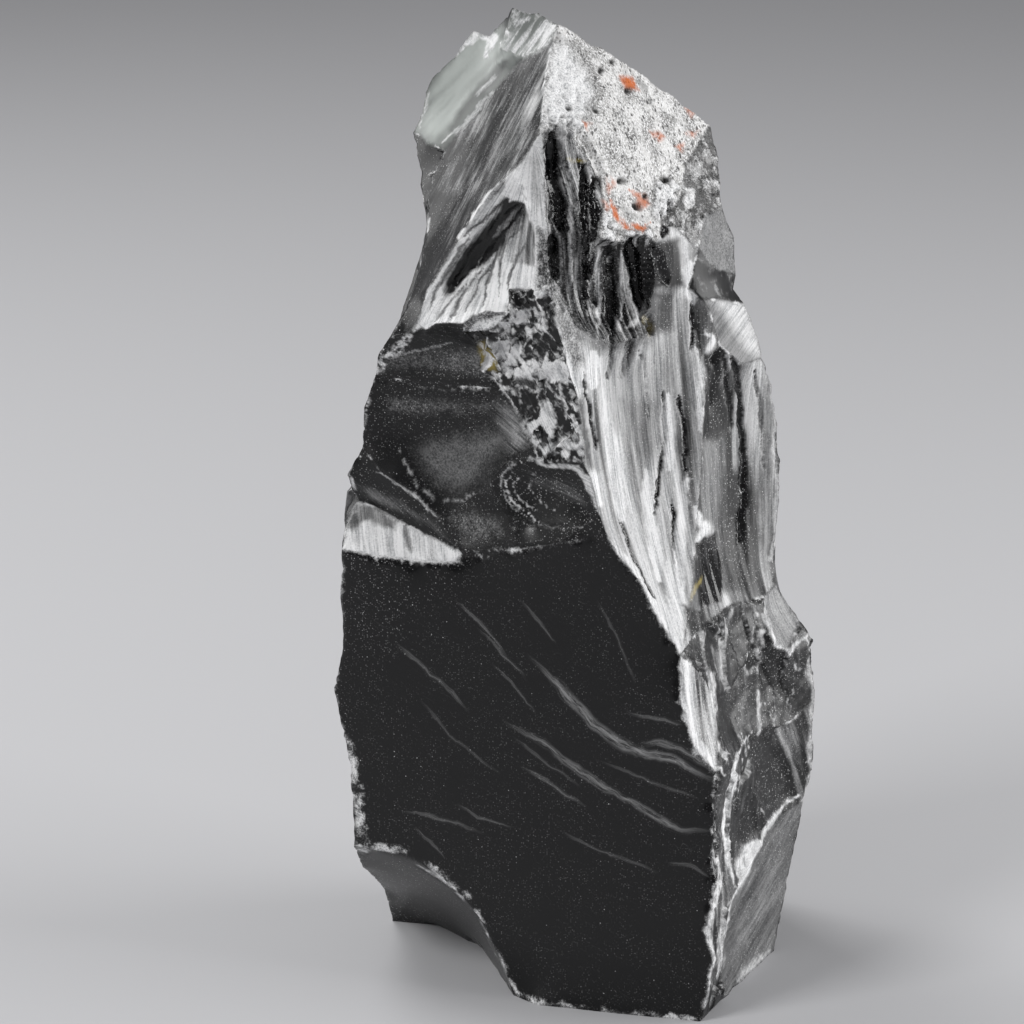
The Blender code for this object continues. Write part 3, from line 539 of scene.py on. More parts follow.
def wisp_field(wisps):
    """Each point's place across the nearest wisp in half widths, that wisp's strength, and its
    place along it in millimetres."""
    field = np.zeros((len(points), 3))
    best = np.full(len(points), 1e9)
    for strength, line in wisps:
        gap, side, along, length = reach([(x, y) for x, y, _ in line])
        stations = [0.0]
        for (x0, y0, _), (x1, y1, _) in zip(line, line[1:]):
            stations.append(stations[-1] + math.hypot(x1 - x0, y1 - y0))
        half = np.interp(along, stations, [w for *_, w in line])
        ends = np.clip(np.minimum(along, length - along) / (0.2 * length), 0, 1)
        here = gap < best
        field[here, 0] = (gap * side / half)[here]
        field[here, 1] = (strength * ends * np.clip(2 - gap / (0.5 * WISP_REACH), 0, 1))[here]
        field[here, 2] = (along / PER_MM)[here]
        best = np.minimum(best, gap)
    field[:, 1] *= on("broad_face")
    return field


# --- The upper front ------------------------------------------------------------------------
# Above the broad face the stone steps back in small scars: a bright fan of torn glass, a lens,
# a dark ledge, a crushed band, a smooth dish, an oval scar and a white chip on the left rim. The
# fan and the chip are frost with painted highlights; the dish, ledge, wedge and oval carry painted
# sheens.
lay(streaky, 1.0, ALL, "bright_scar", "frost", "satin_slope", "white_chip",
    "flutes", "columns", "panel", "strip", "flake", "glass_facet", "wedge", "hackle")
relief += on("bright_scar") * 0.28 * grained(1.1, 14, 1.0)
relief += on("bright_scar") * 0.10 * np.sin(away / 7.0)
# The bright scar: torn, frosted glass, its white bands partly painted highlights.
lay(frost, np.clip(0.5 + 0.5 * grained(1.6, 24, 71.0), 0.05, 1), ALL,
    "bright_scar")
marks(frost, ("bright_scar",), (
        (0.95, patch, 4, [(522, 176), (505, 188), (480, 212), (455, 250), (428, 290), (412, 332),
        (424, 326), (440, 303), (455, 272), (478, 242), (498, 217), (516, 197)]),
        (0.3, stroke, 2.5, [(514, 194), (497, 206), (480, 223), (462, 238)]),
        (0.35, stroke, 3, [(470, 236), (450, 266), (436, 292), (428, 312)]),
        (0.02, patch, 9, [(504, 197), (517, 200), (526, 214), (514, 226), (505, 238), (494, 250),
        (482, 267), (469, 281), (457, 295), (448, 298), (445, 284), (453, 266), (465, 248), (478,
        236), (492, 219)]),
        (0.3, stroke, 2, [(518, 214), (504, 228), (490, 246), (474, 268)]),
        (0.35, stroke, 3, [(520, 208), (505, 222), (493, 240)]),
        (0.03, patch, 5, [(478, 248), (500, 240), (498, 254), (484, 262)]),
        (0.78, patch, 4, [(440, 302), (456, 290), (470, 272), (486, 262), (500, 250), (510, 246),
        (508, 268), (507, 311), (474, 316), (463, 322), (437, 325), (418, 330), (430, 308)]),
        (1.0, patch, 4, [(411, 334), (420, 318), (446, 316), (463, 321), (437, 326)]),
        (1.0, patch, 6, [(480, 285), (505, 280), (507, 311), (478, 314)]),
        (1.0, patch, 4, [(506, 262), (533, 268), (533, 290), (509, 290)]),
))
for line in ([(524, 212), (508, 232), (500, 262), (500, 296)], [(530, 240), (516, 256), (508, 288)],
        [(520, 226), (500, 250), (488, 282), (482, 306)], [(500, 254), (480, 280), (466, 312)],
        [(484, 266), (464, 292), (450, 320)], [(466, 284), (446, 306), (436, 322)]):
    lay(frost, 0.34, stroke(2.2, line), "bright_scar")
relief -= 0.9 * stroke(9, [(520, 206), (500, 226), (480, 252), (458, 282)]) * on("bright_scar")

lay(frost, 1.0, ALL, "frost")
lay(satin, 0.6, ALL, "frost", "bright_scar")
lay(frost, 1.0, patch(4, [(505, 176), (520, 168), (522, 190), (530, 215), (541, 240), (548, 262),
    (548, 285), (533, 290), (536, 232), (522, 200), (510, 200)]), "frost", "bright_scar")
lay(frost, 0.65, patch(10, [(526, 156), (541, 150), (546, 200), (538, 215), (528, 190)]), "frost")

lay(frost, 0.45, ALL, "lens")
lay(frost, 0.0, stroke(2.5, [(465, 334), (482, 334), (498, 328), (508, 318)]), "lens", "ledge",
    "crushed")
lay(frost, 1.0, stroke(4.5, [(468, 331), (478, 328), (492, 324), (506, 317)]), "lens")
lay(relief, -0.5, stroke(6, [(466, 330), (484, 322), (504, 316)]), "lens")


def chips(size, seed, stretch, *names):
    """A surface broken to small tilted flats of a size in millimetres: their height, their tone
    and the bright lines between them."""
    height = np.zeros(len(points))
    tone = np.zeros(len(points))
    edges = np.zeros(len(points))
    scale = Vector(stretch) / (size * MM)
    for i in np.nonzero(on(*names) > 0)[0]:
        spot = points[i] * scale + Vector((seed, seed, seed))
        spot += 0.5 * noise.noise_vector(spot * 1.3)
        gaps, centres = noise.voronoi(spot)
        centre = centres[0]
        height[i] = 1.6 * (spot - centre).dot(noise.noise_vector(centre * 7.7))
        height[i] += 0.8 * noise.noise(centre * 5.3)
        tone[i] = noise.noise(centre * 9.1 + Vector((3.3, 1.7, 0.9)))
        edges[i] = max(0.0, 1 - (gaps[1] - gaps[0]) * size / 0.55)
    return height, tone, edges


large_chips, large_tone, large_lines = chips(4.6, 12.0, (1, 1, 0.75), "crushed", "hackle")
small_chips, small_tone, small_lines = chips(1.9, 13.0, (1, 1, 0.8), "crushed", "hackle")
hack_fine = cloud(1.2, 2, 13.0)
crush_zone = on("crushed") + 0.8 * on("hackle")
relief += crush_zone * (1.5 * large_chips + 0.5 * small_chips)
crumbs = np.clip(0.5 + 1.6 * hack_fine, 0, 1)
chip_frost = np.clip(0.22 + 1.9 * large_tone + 1.2 * small_tone + 0.5 * hack_fine, 0, 1)
chip_frost = np.maximum(chip_frost, 0.85 * large_lines * np.clip(0.7 + hack_fine, 0, 1))
chip_frost = np.maximum(chip_frost, 0.55 * small_lines * np.clip(0.5 + hack_fine, 0, 1))
lay(frost, 0.08, ALL, "ledge")
lay(frost, chip_frost, ALL, "crushed", "hackle")
lay(streaky, 0.8, ALL, "crushed")
for half, value, line in (
    (8, 1.0, [(520, 362), (540, 368), (556, 372), (572, 384)]),
    (5, 0.9, [(503, 348), (512, 360), (520, 352)]),
    (2, 0.8, [(510, 322), (507, 335), (514, 346), (524, 346), (532, 334), (528, 324)]),
    (2, 0.8, [(531, 322), (540, 330), (553, 348)]),
    (4, 0.8, [(512, 312), (526, 318), (536, 316)]),
    (2, 0.9, [(500, 335), (499, 362), (500, 386), (511, 402), (521, 420), (531, 440)]),
    (7, 0.9, [(528, 436), (548, 448), (566, 440), (582, 452)]),
    (4, 0.7, [(540, 398), (552, 412), (548, 428)]),
    (3, 0.7, [(560, 384), (566, 404), (562, 420)]),
    (4, 0.8, [(524, 458), (548, 464), (580, 468), (594, 486)]),
):
    lay(frost, value, stroke(half, line) * (0.4 + 0.6 * crumbs), "crushed", "hackle",
        "sheen_dish", "oval_scar", "ledge")
for strength, outline in (
    (0.9, [(508, 290), (530, 291), (532, 306), (520, 312), (512, 308)]),
    (0.6, [(532, 326), (548, 330), (555, 350), (540, 350)]),
    (0.6, [(512, 326), (524, 326), (528, 338), (516, 343)]),
    (0.75, [(508, 372), (530, 380), (546, 384), (552, 398), (530, 404), (516, 398)]),
):
    lay(frost, 0.0, strength * patch(5, outline) * (1 - 0.8 * large_lines), "crushed", "hackle")
marks(amber, ("crushed", "ledge"), (
        (0.9, patch, 5, [(478, 346), (492, 342), (498, 356), (496, 372), (484, 366)]),
        (0.7, stroke, 3, [(482, 362), (490, 370), (499, 372)]),
))
for half, line in ((7, [(414, 331), (403, 344), (392, 354), (380, 366), (372, 382)]),
        (4, [(384, 348), (372, 366), (364, 400)]), (3, [(346, 478), (352, 466), (360, 456)])):
    lay(frost, 1.0, stroke(half, line) * crumbs, "ledge", "satin_slope", "sheen_dish", "wedge")
lay(frost, 0.45, stroke(2, [(384, 360), (420, 350), (456, 341)]), "ledge")

# Painted sheen: the dish's middle is laid a soft pale grey and quieted to satin, standing for a dim
# reflection; beside it lie grey hackle streaks.
lay(dust, 0.2, patch(26, [(402, 440), (430, 428), (470, 426), (514, 420), (516, 450), (500, 480),
    (470, 502), (440, 500), (412, 478)]), "sheen_dish")
lay(satin, 1.0, patch(26, [(402, 440), (430, 428), (470, 426), (514, 420), (516, 450), (500, 480),
    (470, 502), (440, 500), (412, 478)]), "sheen_dish")
lay(frost, 0.31, patch(36, [(406, 448), (430, 432), (470, 426), (508, 416), (522, 436), (500, 466),
    (480, 492), (452, 500), (424, 486)]), "sheen_dish")
lay(streaky, 1.0, patch(16, [(490, 400), (520, 410), (535, 450), (500, 460)]), "sheen_dish")
lay(frost, 0.42, patch(18, [(498, 400), (516, 408), (532, 444), (512, 452)]), "sheen_dish")
for half, value, line in (
    (2.2, 0.6, [(374, 470), (392, 480), (412, 492), (428, 508), (440, 522)]),
    (1.6, 0.5, [(398, 448), (418, 488), (438, 502), (462, 500), (490, 488)]),
    (1.8, 0.6, [(536, 462), (512, 464), (502, 474), (500, 486), (508, 502), (520, 514), (534,
        522)]),
    (1.8, 0.8, [(514, 470), (505, 482), (511, 500), (526, 514), (540, 522)]),
    (1.6, 0.7, [(520, 474), (513, 484), (520, 500), (540, 514)]),
    (1.4, 0.6, [(534, 472), (530, 486), (540, 502), (556, 512)]),
    (4.0, 0.75, [(562, 462), (576, 470), (586, 480), (594, 498), (600, 516)]),
    (1.4, 0.4, [(534, 523), (552, 528), (582, 527), (598, 518)]),
    (1.6, 0.5, [(462, 552), (490, 550), (520, 548), (560, 541)]),
    (1.4, 0.4, [(404, 386), (440, 390), (498, 391)]),
):
    lay(frost, value, stroke(half, line) * (0.8 + 0.2 * crumbs), "sheen_dish", "oval_scar",
        "wedge", "sill")
    lay(satin, 1.0, stroke(1.6 * half, line), "sheen_dish", "oval_scar", "wedge", "sill")
# Painted sheens: soft pale patches on the ledge, dish and wedge stand for dim reflections, so that
# the creases between them read darker.
for value, soft, outline in (
    (0.29, 18, [(438, 352), (474, 344), (494, 360), (498, 378), (452, 374), (428, 366)]),
    (0.26, 14, [(386, 350), (438, 348), (430, 368), (382, 372)]),
    (0.28, 12, [(350, 480), (366, 484), (400, 496), (436, 524), (456, 548), (412, 520),
        (366, 500)]),
    (0.27, 22, [(430, 512), (470, 506), (500, 516), (512, 540), (470, 546), (448, 530)]),
    (0.26, 16, [(384, 392), (440, 396), (500, 400), (510, 412), (440, 418), (384, 416)]),
):
    lay(frost, value, patch(soft, outline) * (frost < 0.3), "ledge", "sheen_dish", "wedge")
relief -= 0.45 * stroke(5, [(378, 378), (420, 384), (470, 388), (500, 390)]) * on("ledge",
    "sheen_dish")
# Painted sheen on the oval scar: a soft pale patch standing for a dim reflection.
lay(frost, 0.26, patch(16, [(520, 468), (560, 474), (588, 492), (590, 510), (560, 500), (530, 484)])
    * (frost < 0.3), "oval_scar")
lay(streaky, 1.0, ALL, "oval_scar")
lay(dust, 0.8, ALL, "oval_scar", "sill", "leaf")
lay(satin, 0.7, ALL, "oval_scar", "sill", "wedge", "ledge", "undercut")
lay(satin, 0.6, satin < 0.6, "sheen_dish")
oval = np.hypot((col - 600) / 1.15, row - 500)
relief += 0.05 * np.sin(oval / 6.0) * on("oval_scar")

# The white chip: frost with a painted highlight, laid near white where the chip would mirror the
# upper left panel.
lay(frost, np.clip(0.95 + 0.4 * grained(2.4, 22, 63.0), 0, 1), ALL,
    "white_chip")
marks(frost, ("white_chip",), (
        (0.36, patch, 8, [(346, 500), (372, 504), (400, 520), (396, 532), (366, 522), (352, 532),
        (344, 524)]),
        (0.45, stroke, 5, [(404, 526), (410, 540), (412, 552)]),
))
lay(satin, 0.75, ALL, "white_chip")
relief += on("white_chip") * 0.25 * grained(2.2, 8, 3.0)

# --- The crown ------------------------------------------------------------------------------
# The top left: a glassy hollow, laid pale grey-green as a painted reflection and glow of light
# through its thin rim, and below it a satin slope scored by fine scratches. The cap is the stone's
# own skin: grey pitted rind.
# Painted light: the shell and the glass facet are laid pale grey-green, standing for the light that
# the thin glass reflects and lets through.
lay(pale, 0.5, ALL, "shell")
lay(frost, np.clip(0.38 + 0.9 * grained(1.2, 12, 76.0), 0, 0.9), ALL, "shell")
lay(streaky, 1.0, ALL, "shell")
lay(pale, 1.0, patch(26, [(416, 128), (424, 92), (434, 66), (470, 30), (500, 26), (524, 54),
    (498, 80), (470, 112), (446, 140), (432, 150)]), "glass_facet", "shell")
lay(pale, 0.35, stroke(10, [(505, 60), (478, 96), (450, 130)]), "glass_facet")
pale *= np.where(on("glass_facet", "shell") > 0, 0.92 + 0.30 * grained(1.6, 26, 64.0), 1)
lay(frost, 0.6, patch(10, [(492, 60), (500, 84), (480, 108), (474, 90)])
    * np.clip(0.4 + 1.2 * grained(1.2, 16, 77.0), 0, 1), "glass_facet")
lay(frost, 0.95, stroke(7, [(455, 56), (466, 42), (480, 34), (494, 38), (486, 56)])
    * np.clip(0.5 + crumbs, 0, 1), "glass_facet")
lay(frost, 0.5, stroke(3, [(430, 84), (426, 104), (420, 126)]), "glass_facet")
lay(frost, 0.8, stroke(5, [(498, 50), (508, 36), (516, 20), (538, 16)]) * crumbs, "shell")
lay(frost, 0.7, stroke(4, [(514, 56), (536, 50), (552, 38)]) * crumbs, "shell", "satin_slope")
for line in ([(430, 176), (448, 160), (462, 134), (476, 118)], [(450, 150), (468, 128)],
        [(440, 146), (470, 116), (500, 86)]):
    lay(frost, 0.6, stroke(3, line), "glass_facet", "satin_slope", "blade")
lay(satin, 0.35, ALL, "satin_slope")
lay(satin, 0.4, ALL, "glass_facet")
slope_light = np.clip(0.25 + 0.12 * grained(0.9, 7, 65.0) + 0.12 * cloud(9, 2, 66.0), 0, 0.6)
lay(frost, slope_light, ALL, "satin_slope")
lay(frost, 0.1, patch(16, [(432, 190), (452, 196), (440, 250), (424, 290), (406, 330), (394, 336),
    (418, 270)]), "satin_slope")
lay(frost, 0.55, patch(14, [(540, 60), (552, 46), (546, 90), (530, 130), (512, 160), (520, 110)])
    * np.clip(0.5 + 1.2 * grained(1.0, 9, 67.0), 0, 1), "satin_slope")
lay(frost, 0.9, stroke(2.5, [(553, 42), (546, 85), (541, 130)], 0.05) * crumbs, "satin_slope",
    "rind", "frost")
lay(frost, 0.8, stroke(2, [(511, 173), (489, 194), (466, 225)]), "satin_slope")
lay(frost, 0.7, stroke(1.6, [(420, 190), (428, 216), (429, 236)]), "blade", "satin_slope")
relief += on("satin_slope") * 0.09 * grained(1.6, 16, 6.0)
relief += on("glass_facet") * 0.12 * np.sin(np.hypot(col - 540, row - 60) / 9.0)

bubbles = cloud(2.2, 3, 21.0)
lay(rind, 1.0, ALL, "rind")
lay(rind, 0.2, ALL, "rough_side")
lay(frost, np.clip(0.16 + 0.9 * bubbles, 0, 0.8), ALL, "rough_side")
glassy_left = patch(16, [(553, 39), (575, 50), (596, 90), (586, 118), (560, 122), (540, 131),
    (544, 85)])
lay(rind, 0.05, glassy_left, "rind")
lay(frost, np.clip(1.0 + 0.5 * bubbles, 0.4, 1), glassy_left, "rind")
lay(satin, 0.95, glassy_left, "rind")
relief += 0.5 * bubbles * glassy_left * on("rind")
for outline in ([(600, 208), (612, 214), (620, 232), (612, 244), (600, 240)],
        [(622, 230), (640, 232), (650, 228), (656, 240), (640, 246), (624, 243)],
        [(655, 180), (668, 178), (680, 184), (676, 210), (662, 222), (650, 214)],
        [(548, 120), (566, 112), (584, 124), (572, 136), (556, 132)]):
    lump = patch(5, outline)
    lay(rind, 0.0, lump, "rind", "columns", "flutes")
    lay(frost, np.clip(0.8 + 0.9 * bubbles, 0.1, 1), lump, "rind", "columns", "flutes")
    relief += 0.7 * lump * (0.6 + bubbles) * on("rind", "columns", "flutes")
for strength, half, line in ((0.5, 5, [(612, 62), (630, 72), (644, 92), (656, 112)]),
        (0.35, 4, [(588, 52), (604, 62), (618, 76)]), (0.3, 5, [(664, 112), (684, 128), (700,
            132)])):
    shade = np.maximum(shade, strength * stroke(half, line) * np.clip(0.4 + 1.5 * bubbles, 0, 1)
        * on("rind"))
for outline, value in (
    ([(638, 196), (646, 194), (648, 204), (640, 208)], 0.9),
    ([(620, 76), (632, 76), (638, 90), (628, 88)], 1.0),
    ([(650, 132), (664, 136), (658, 142)], 0.8),
    ([(582, 122), (590, 124), (586, 130)], 0.8),
    ([(676, 146), (684, 142), (683, 152)], 0.7),
    ([(684, 106), (698, 110), (692, 116)], 0.7),
    ([(684, 134), (700, 130), (694, 138)], 0.6),
    ([(606, 176), (616, 182), (608, 196)], 0.5),
    ([(602, 200), (610, 206), (606, 212)], 0.6),
):
    lay(rust, value, patch(4, outline), "rind", "columns", "rough_side")
marks(rust, ("rind",), (
        (1.0, stroke, 4, [(611, 200), (616, 214), (626, 226), (640, 230), (650, 222)]),
        (0.7, stroke, 3, [(628, 190), (640, 196), (643, 206)]),
))
lay(rind, 0.7, stroke(5, [(618, 206), (630, 218), (646, 216)]), "rind")
relief += (on("rind") + 1.4 * on("rough_side")) * (0.3 * cloud(5.0, 3, 22.0) + 0.22 * bubbles)
for x, y, half, deep in ((622, 180, 6, 1.6), (637, 205, 6, 1.8), (664, 180, 5, 1.0),
        (630, 90, 5, 0.9), (602, 70, 5, 0.7), (612, 62, 5, 0.8), (645, 196, 4, 0.9),
        (595, 178, 4, 1.0), (570, 108, 4, 0.5), (596, 110, 5, 0.6), (688, 196, 6, -1.4)):
    spot = np.clip(1 - np.hypot(col - x, row - y) / half, 0, 1)
    relief -= deep * spot * (on("rind", "rough_side"))
    shade = np.maximum(shade, np.clip(1.6 * spot, 0, 1) * (deep > 0))
lay(frost, 1.0, patch(4, [(684, 186), (694, 188), (697, 206), (686, 209)]), "rough_side", "rind")
lay(frost, 0.5, patch(4, [(688, 160), (700, 170), (698, 184), (688, 176)]), "rough_side")

# --- The columns and flutes -----------------------------------------------------------------
# Under the rind the glass tore along its grain: upright columns with black gaps, then long
# shallow flutes down the right side, frosted grey with painted sheen, with thin ribs between.
relief += on("columns") * (0.55 * grained(1.5, 26, 7.0) + 0.05 * np.sin(4.6 * grain[:, 1]))
relief += on("flutes", "panel", "strip") * 0.42 * grained(3.4, 60, 8.0)
# The columns' and flutes' greys and whites are frost and painted sheen: light bands laid where the
# glossy flutes would mirror the right-hand panel.
lay(frost, np.clip(0.33 + 0.5 * grained(0.8, 20, 62.0) + 0.35 * grained(2.6, 40, 73.0), 0, 0.8),
    ALL, "columns")
flute_light = 0.34 * grained(5.0, 55, 60.0) + 0.26 * grained(1.8, 30, 61.0)
lay(frost, np.clip(0.60 + flute_light, 0.08, 1), ALL, "flutes", "strip")
lay(frost, np.clip(0.37 + flute_light, 0.05, 1), ALL, "panel")
lay(satin, 1.0, ALL, "flutes", "panel", "grey_facet", "flake", "nick_facet")
lay(dust, 1.0, ALL, "flutes", "panel", "strip", "columns", "rough_side")
gap_light = np.clip(0.5 * grained(0.7, 16, 68.0), 0, 0.5)
for half, deep, line in (
    (8, 1.6, [(552, 136), (552, 170), (556, 200), (560, 228)]),
    (7, 2.0, [(552, 236), (552, 256), (553, 277)]),
    (5, 1.2, [(583, 164), (584, 200), (585, 250), (586, 300)]),
    (5, 1.0, [(568, 124), (582, 138), (596, 160), (600, 180)]),
    (4, 1.0, [(594, 178), (594, 220), (592, 246)]),
    (6, 1.6, [(609, 242), (610, 280), (612, 326)]),
    (7, 1.8, [(630, 238), (633, 270), (638, 298), (646, 318), (652, 334)]),
    (6, 1.4, [(655, 250), (662, 270), (668, 284)]),
    (5, 1.0, [(672, 200), (668, 220), (664, 236)]),
    (5, 1.0, [(632, 340), (628, 356), (620, 378)]),
    (3, 0.7, [(612, 330), (612, 352), (608, 380)]),
    (2, 0.5, [(584, 372), (589, 405), (597, 452)]),
    (1.8, 0.4, [(640, 350), (646, 380), (648, 420)]),
    (2, 0.5, [(664, 392), (664, 430), (661, 470), (655, 516)]),
    (2.5, 0.5, [(679, 396), (684, 428), (684, 470)]),
    (2, 0.4, [(672, 500), (674, 540), (680, 590)]),
    (2.2, 0.6, [(723, 348), (727, 384), (731, 432)]),
    (3.5, 0.7, [(731, 346), (738, 390), (743, 440), (744, 500), (739, 545)]),
    (1.8, 0.4, [(755, 372), (761, 420), (764, 470)]),
    (1.6, 0.3, [(618, 520), (634, 560), (656, 600)]),
    (2.2, 0.5, [(693, 300), (692, 330), (690, 352)]),
    (2.5, 0.5, [(774, 430), (777, 456), (777, 476)]),
):
    mask = stroke(half, line, 0.12)
    relief -= deep * mask * on("columns", "flutes", "panel", "rind", "nick_facet")
    lay(frost, gap_light, np.clip(1.5 * mask, 0, 1), "columns", "flutes", "panel", "frost")
    lay(satin, 0.0, np.clip(1.5 * mask, 0, 1), "columns", "flutes", "panel")
for half, value, line in (
    (2.5, 0.85, [(602, 250), (600, 290), (598, 340)]),
    (3, 0.55, [(568, 168), (570, 220), (568, 290), (572, 330)]),
    (2.5, 0.7, [(622, 250), (620, 290), (622, 322)]),
    (4, 0.75, [(644, 300), (640, 320), (626, 330)]),
    (8, 0.95, [(548, 306), (560, 340), (573, 380), (588, 440), (600, 505)]),
    (9, 1.0, [(594, 352), (593, 372), (594, 386)]),
    (9, 1.0, [(690, 262), (688, 284), (694, 304)]),
    (5, 1.0, [(704, 330), (712, 338), (704, 366), (702, 400), (699, 430)]),
    (11, 0.85, [(612, 430), (616, 470), (622, 520)]),
    (9, 0.9, [(646, 470), (650, 520), (660, 580)]),
    (8, 0.9, [(668, 396), (668, 430), (670, 470)]),
    (7, 0.95, [(686, 478), (682, 520), (678, 570), (680, 620)]),
    (9, 0.8, [(668, 560), (672, 600), (682, 650)]),
    (6, 0.9, [(694, 508), (700, 522), (706, 528), (696, 540)]),
    (3, 0.9, [(606, 536), (624, 556), (644, 586), (660, 616), (681, 652)]),
    (4, 0.55, [(768, 366), (775, 420), (778, 480), (772, 560)]),
    (6, 0.42, [(757, 380), (764, 430), (768, 500), (766, 570)]),
):
    lay(frost, value, stroke(half, line), "columns", "flutes", "panel", "frost", "strip")
for value, soft, outline in (
    (0.50, 20, [(604, 356), (660, 352), (664, 400), (650, 440), (612, 430)]),
    (0.40, 12, [(622, 400), (655, 402), (660, 440), (650, 468), (636, 440)]),
    (0.3, 10, [(568, 400), (584, 396), (592, 440), (598, 470), (588, 470)]),
    (0.05, 5, [(682, 606), (700, 612), (718, 646), (706, 644), (690, 624)]),
    (0.12, 8, [(703, 352), (722, 350), (724, 430), (720, 470), (704, 440)]),
    (0.4, 8, [(702, 440), (722, 440), (722, 530), (704, 520)]),
    (0.0, 5, [(698, 542), (716, 534), (723, 560), (720, 600), (702, 606), (696, 580)]),
    (0.08, 8, [(640, 244), (680, 240), (684, 286), (650, 290)]),
    (0.15, 14, [(726, 470), (748, 470), (758, 540), (752, 590), (724, 590), (720, 530)]),
    (0.25, 10, [(640, 290), (676, 290), (672, 330), (646, 334)]),
    (0.45, 8, [(563, 124), (576, 130), (588, 156), (566, 158), (560, 146)]),
    (0.22, 6, [(600, 246), (618, 244), (620, 300), (606, 330), (600, 290)]),
):
    lay(frost, value, patch(soft, outline), "columns", "flutes", "panel", "rind")
lay(frost, 0.35, stroke(14, [(556, 310), (577, 328), (606, 344), (646, 338), (656, 300)]) * 0.8,
    "columns", "flutes")
speckled = patch(8, [(536, 222), (549, 236), (556, 280), (576, 322), (584, 360), (574, 372), (558,
    326),
    (546, 296), (535, 288)])
lay(frost, np.clip(0.38 + 0.2 * hack_fine, 0.1, 0.8), speckled, "frost", "columns", "flutes")
lay(satin, 0.1, speckled, "frost", "columns", "flutes")
lay(streaky, 0.1, speckled, "frost", "columns", "flutes")
lay(satin, 0.1, patch(5, [(698, 542), (716, 534), (723, 560), (720, 600), (702, 606), (696, 580)]),
    "panel", "flutes")
lay(amber, 0.9, stroke(2.5, [(690, 600), (695, 588), (702, 576)]), "panel", "flutes")
lay(amber, 0.7, stroke(2.5, [(566, 159), (576, 161), (586, 160)]), "columns")
lay(amber, 0.5, stroke(4, [(648, 318), (652, 328), (650, 336)]), "columns", "flutes")

lay(frost, 0.39, ALL, "grey_facet")
lay(frost, np.clip(0.06 + 0.5 * bubbles, 0, 0.5), ALL, "nick_facet")
lay(frost, 0.4, ALL, "flake")
lay(frost, 0.72, patch(12, [(712, 298), (746, 303), (756, 330), (763, 356), (748, 350), (730,
    322)]), "flake")
lay(frost, 0.9, stroke(4, [(738, 292), (748, 304), (756, 318)]), "flake", "nick_facet")
relief += on("flake") * 0.2 * grained(2.4, 12, 10.0)

# --- The low right block --------------------------------------------------------------------
# The foot of the right side, where the tearing ended in small leaf-shaped scars and worn
# rims, all dulled to a speckled grey.
low = ("block", "leaf", "low_rib", "low_facet", "notch_scar")
flake_height, flake_tone, flake_lines = chips(8.0, 15.0, (1, 1, 0.4), "block", "low_rib")
lay(frost, np.clip(0.10 + 0.40 * flake_tone + 0.20 * grained(1.6, 12, 69.0), 0, 0.8),
    ALL, "block", "low_rib")
lay(frost, 0.16, np.clip((col - 730) / 40, 0, 1) * np.clip((row - 640) / 30, 0, 1) * 0.6, "block")
lay(frost, 0.8, flake_lines * np.clip(0.5 + hack_fine, 0, 1), "block", "low_rib")
relief += on("block", "low_rib") * 1.1 * flake_height
lay(frost, np.clip(0.33 + 0.10 * grained(3.0, 26, 70.0), 0, 0.9), ALL,
    "low_facet")
lay(streaky, 0.8, ALL, *low)
lay(frost, np.clip(0.22 + 0.3 * grained(1.6, 12, 74.0), 0, 0.6), ALL, "leaf")
lay(frost, 0.05, patch(6, [(751, 736), (764, 733), (780, 754), (796, 792), (790, 808), (776, 808),
    (758, 792)]), "leaf")
lay(frost, 0.45, ALL, "notch_scar")
lay(satin, 0.8, ALL, *low)
lay(dust, 0.9, ALL, *low)
relief += on(*low) * (0.30 * cloud(7.0, 2, 31.0) + 0.12 * cloud(2.2, 2, 32.0))
for half, value, line in (
    (5, 1.0, [(670, 672), (684, 706), (690, 730), (704, 752), (719, 773)]),
    (3, 0.0, [(684, 650), (700, 668), (714, 690), (716, 720)]),
    (7, 0.7, [(712, 676), (714, 700), (718, 740), (722, 760)]),
    (3, 0.9, [(752, 733), (738, 756), (729, 792), (724, 832), (728, 868), (735, 888)]),
    (9, 0.85, [(756, 842), (746, 858), (740, 874)]),
    (3.5, 0.9, [(801, 795), (781, 809), (768, 826), (756, 850), (742, 882), (731, 905)]),
    (3, 0.8, [(763, 600), (766, 622), (776, 644), (788, 651), (800, 640), (811, 630)]),
    (4, 0.6, [(722, 640), (726, 620), (734, 608)]),
    (3, 0.6, [(722, 640), (722, 670), (726, 690)]),
    (3, 0.7, [(760, 690), (760, 720), (758, 745)]),
    (5, 0.6, [(812, 640), (813, 700), (811, 760), (806, 795)]),
    (4, 0.8, [(714, 850), (720, 876), (708, 925), (713, 960), (702, 1010)]),
    (4, 0.7, [(731, 905), (722, 940), (718, 980)]),
    (6, 0.6, [(770, 950), (752, 968), (736, 980)]),
):
    lay(frost, value, stroke(half, line) * (0.55 + 0.45 * crumbs), *low, "strip")
for value, soft, outline in (
    (0.08, 5, [(762, 650), (784, 652), (780, 700), (764, 690)]),
    (0.1, 5, [(752, 740), (764, 735), (790, 770), (794, 796), (776, 806), (768, 820), (756, 790)]),
    (0.16, 7, [(733, 684), (740, 700), (738, 738), (730, 742), (727, 710)]),
    (0.1, 5, [(736, 815), (758, 812), (762, 832), (744, 842), (733, 836)]),
    (0.12, 6, [(716, 690), (726, 694), (728, 740), (720, 740)]),
    (0.05, 4, [(700, 610), (716, 636), (718, 650), (706, 640)]),
):
    lay(frost, value, patch(soft, outline), *low, "strip")
    relief -= 0.5 * patch(soft + 4, outline) * on(*low)

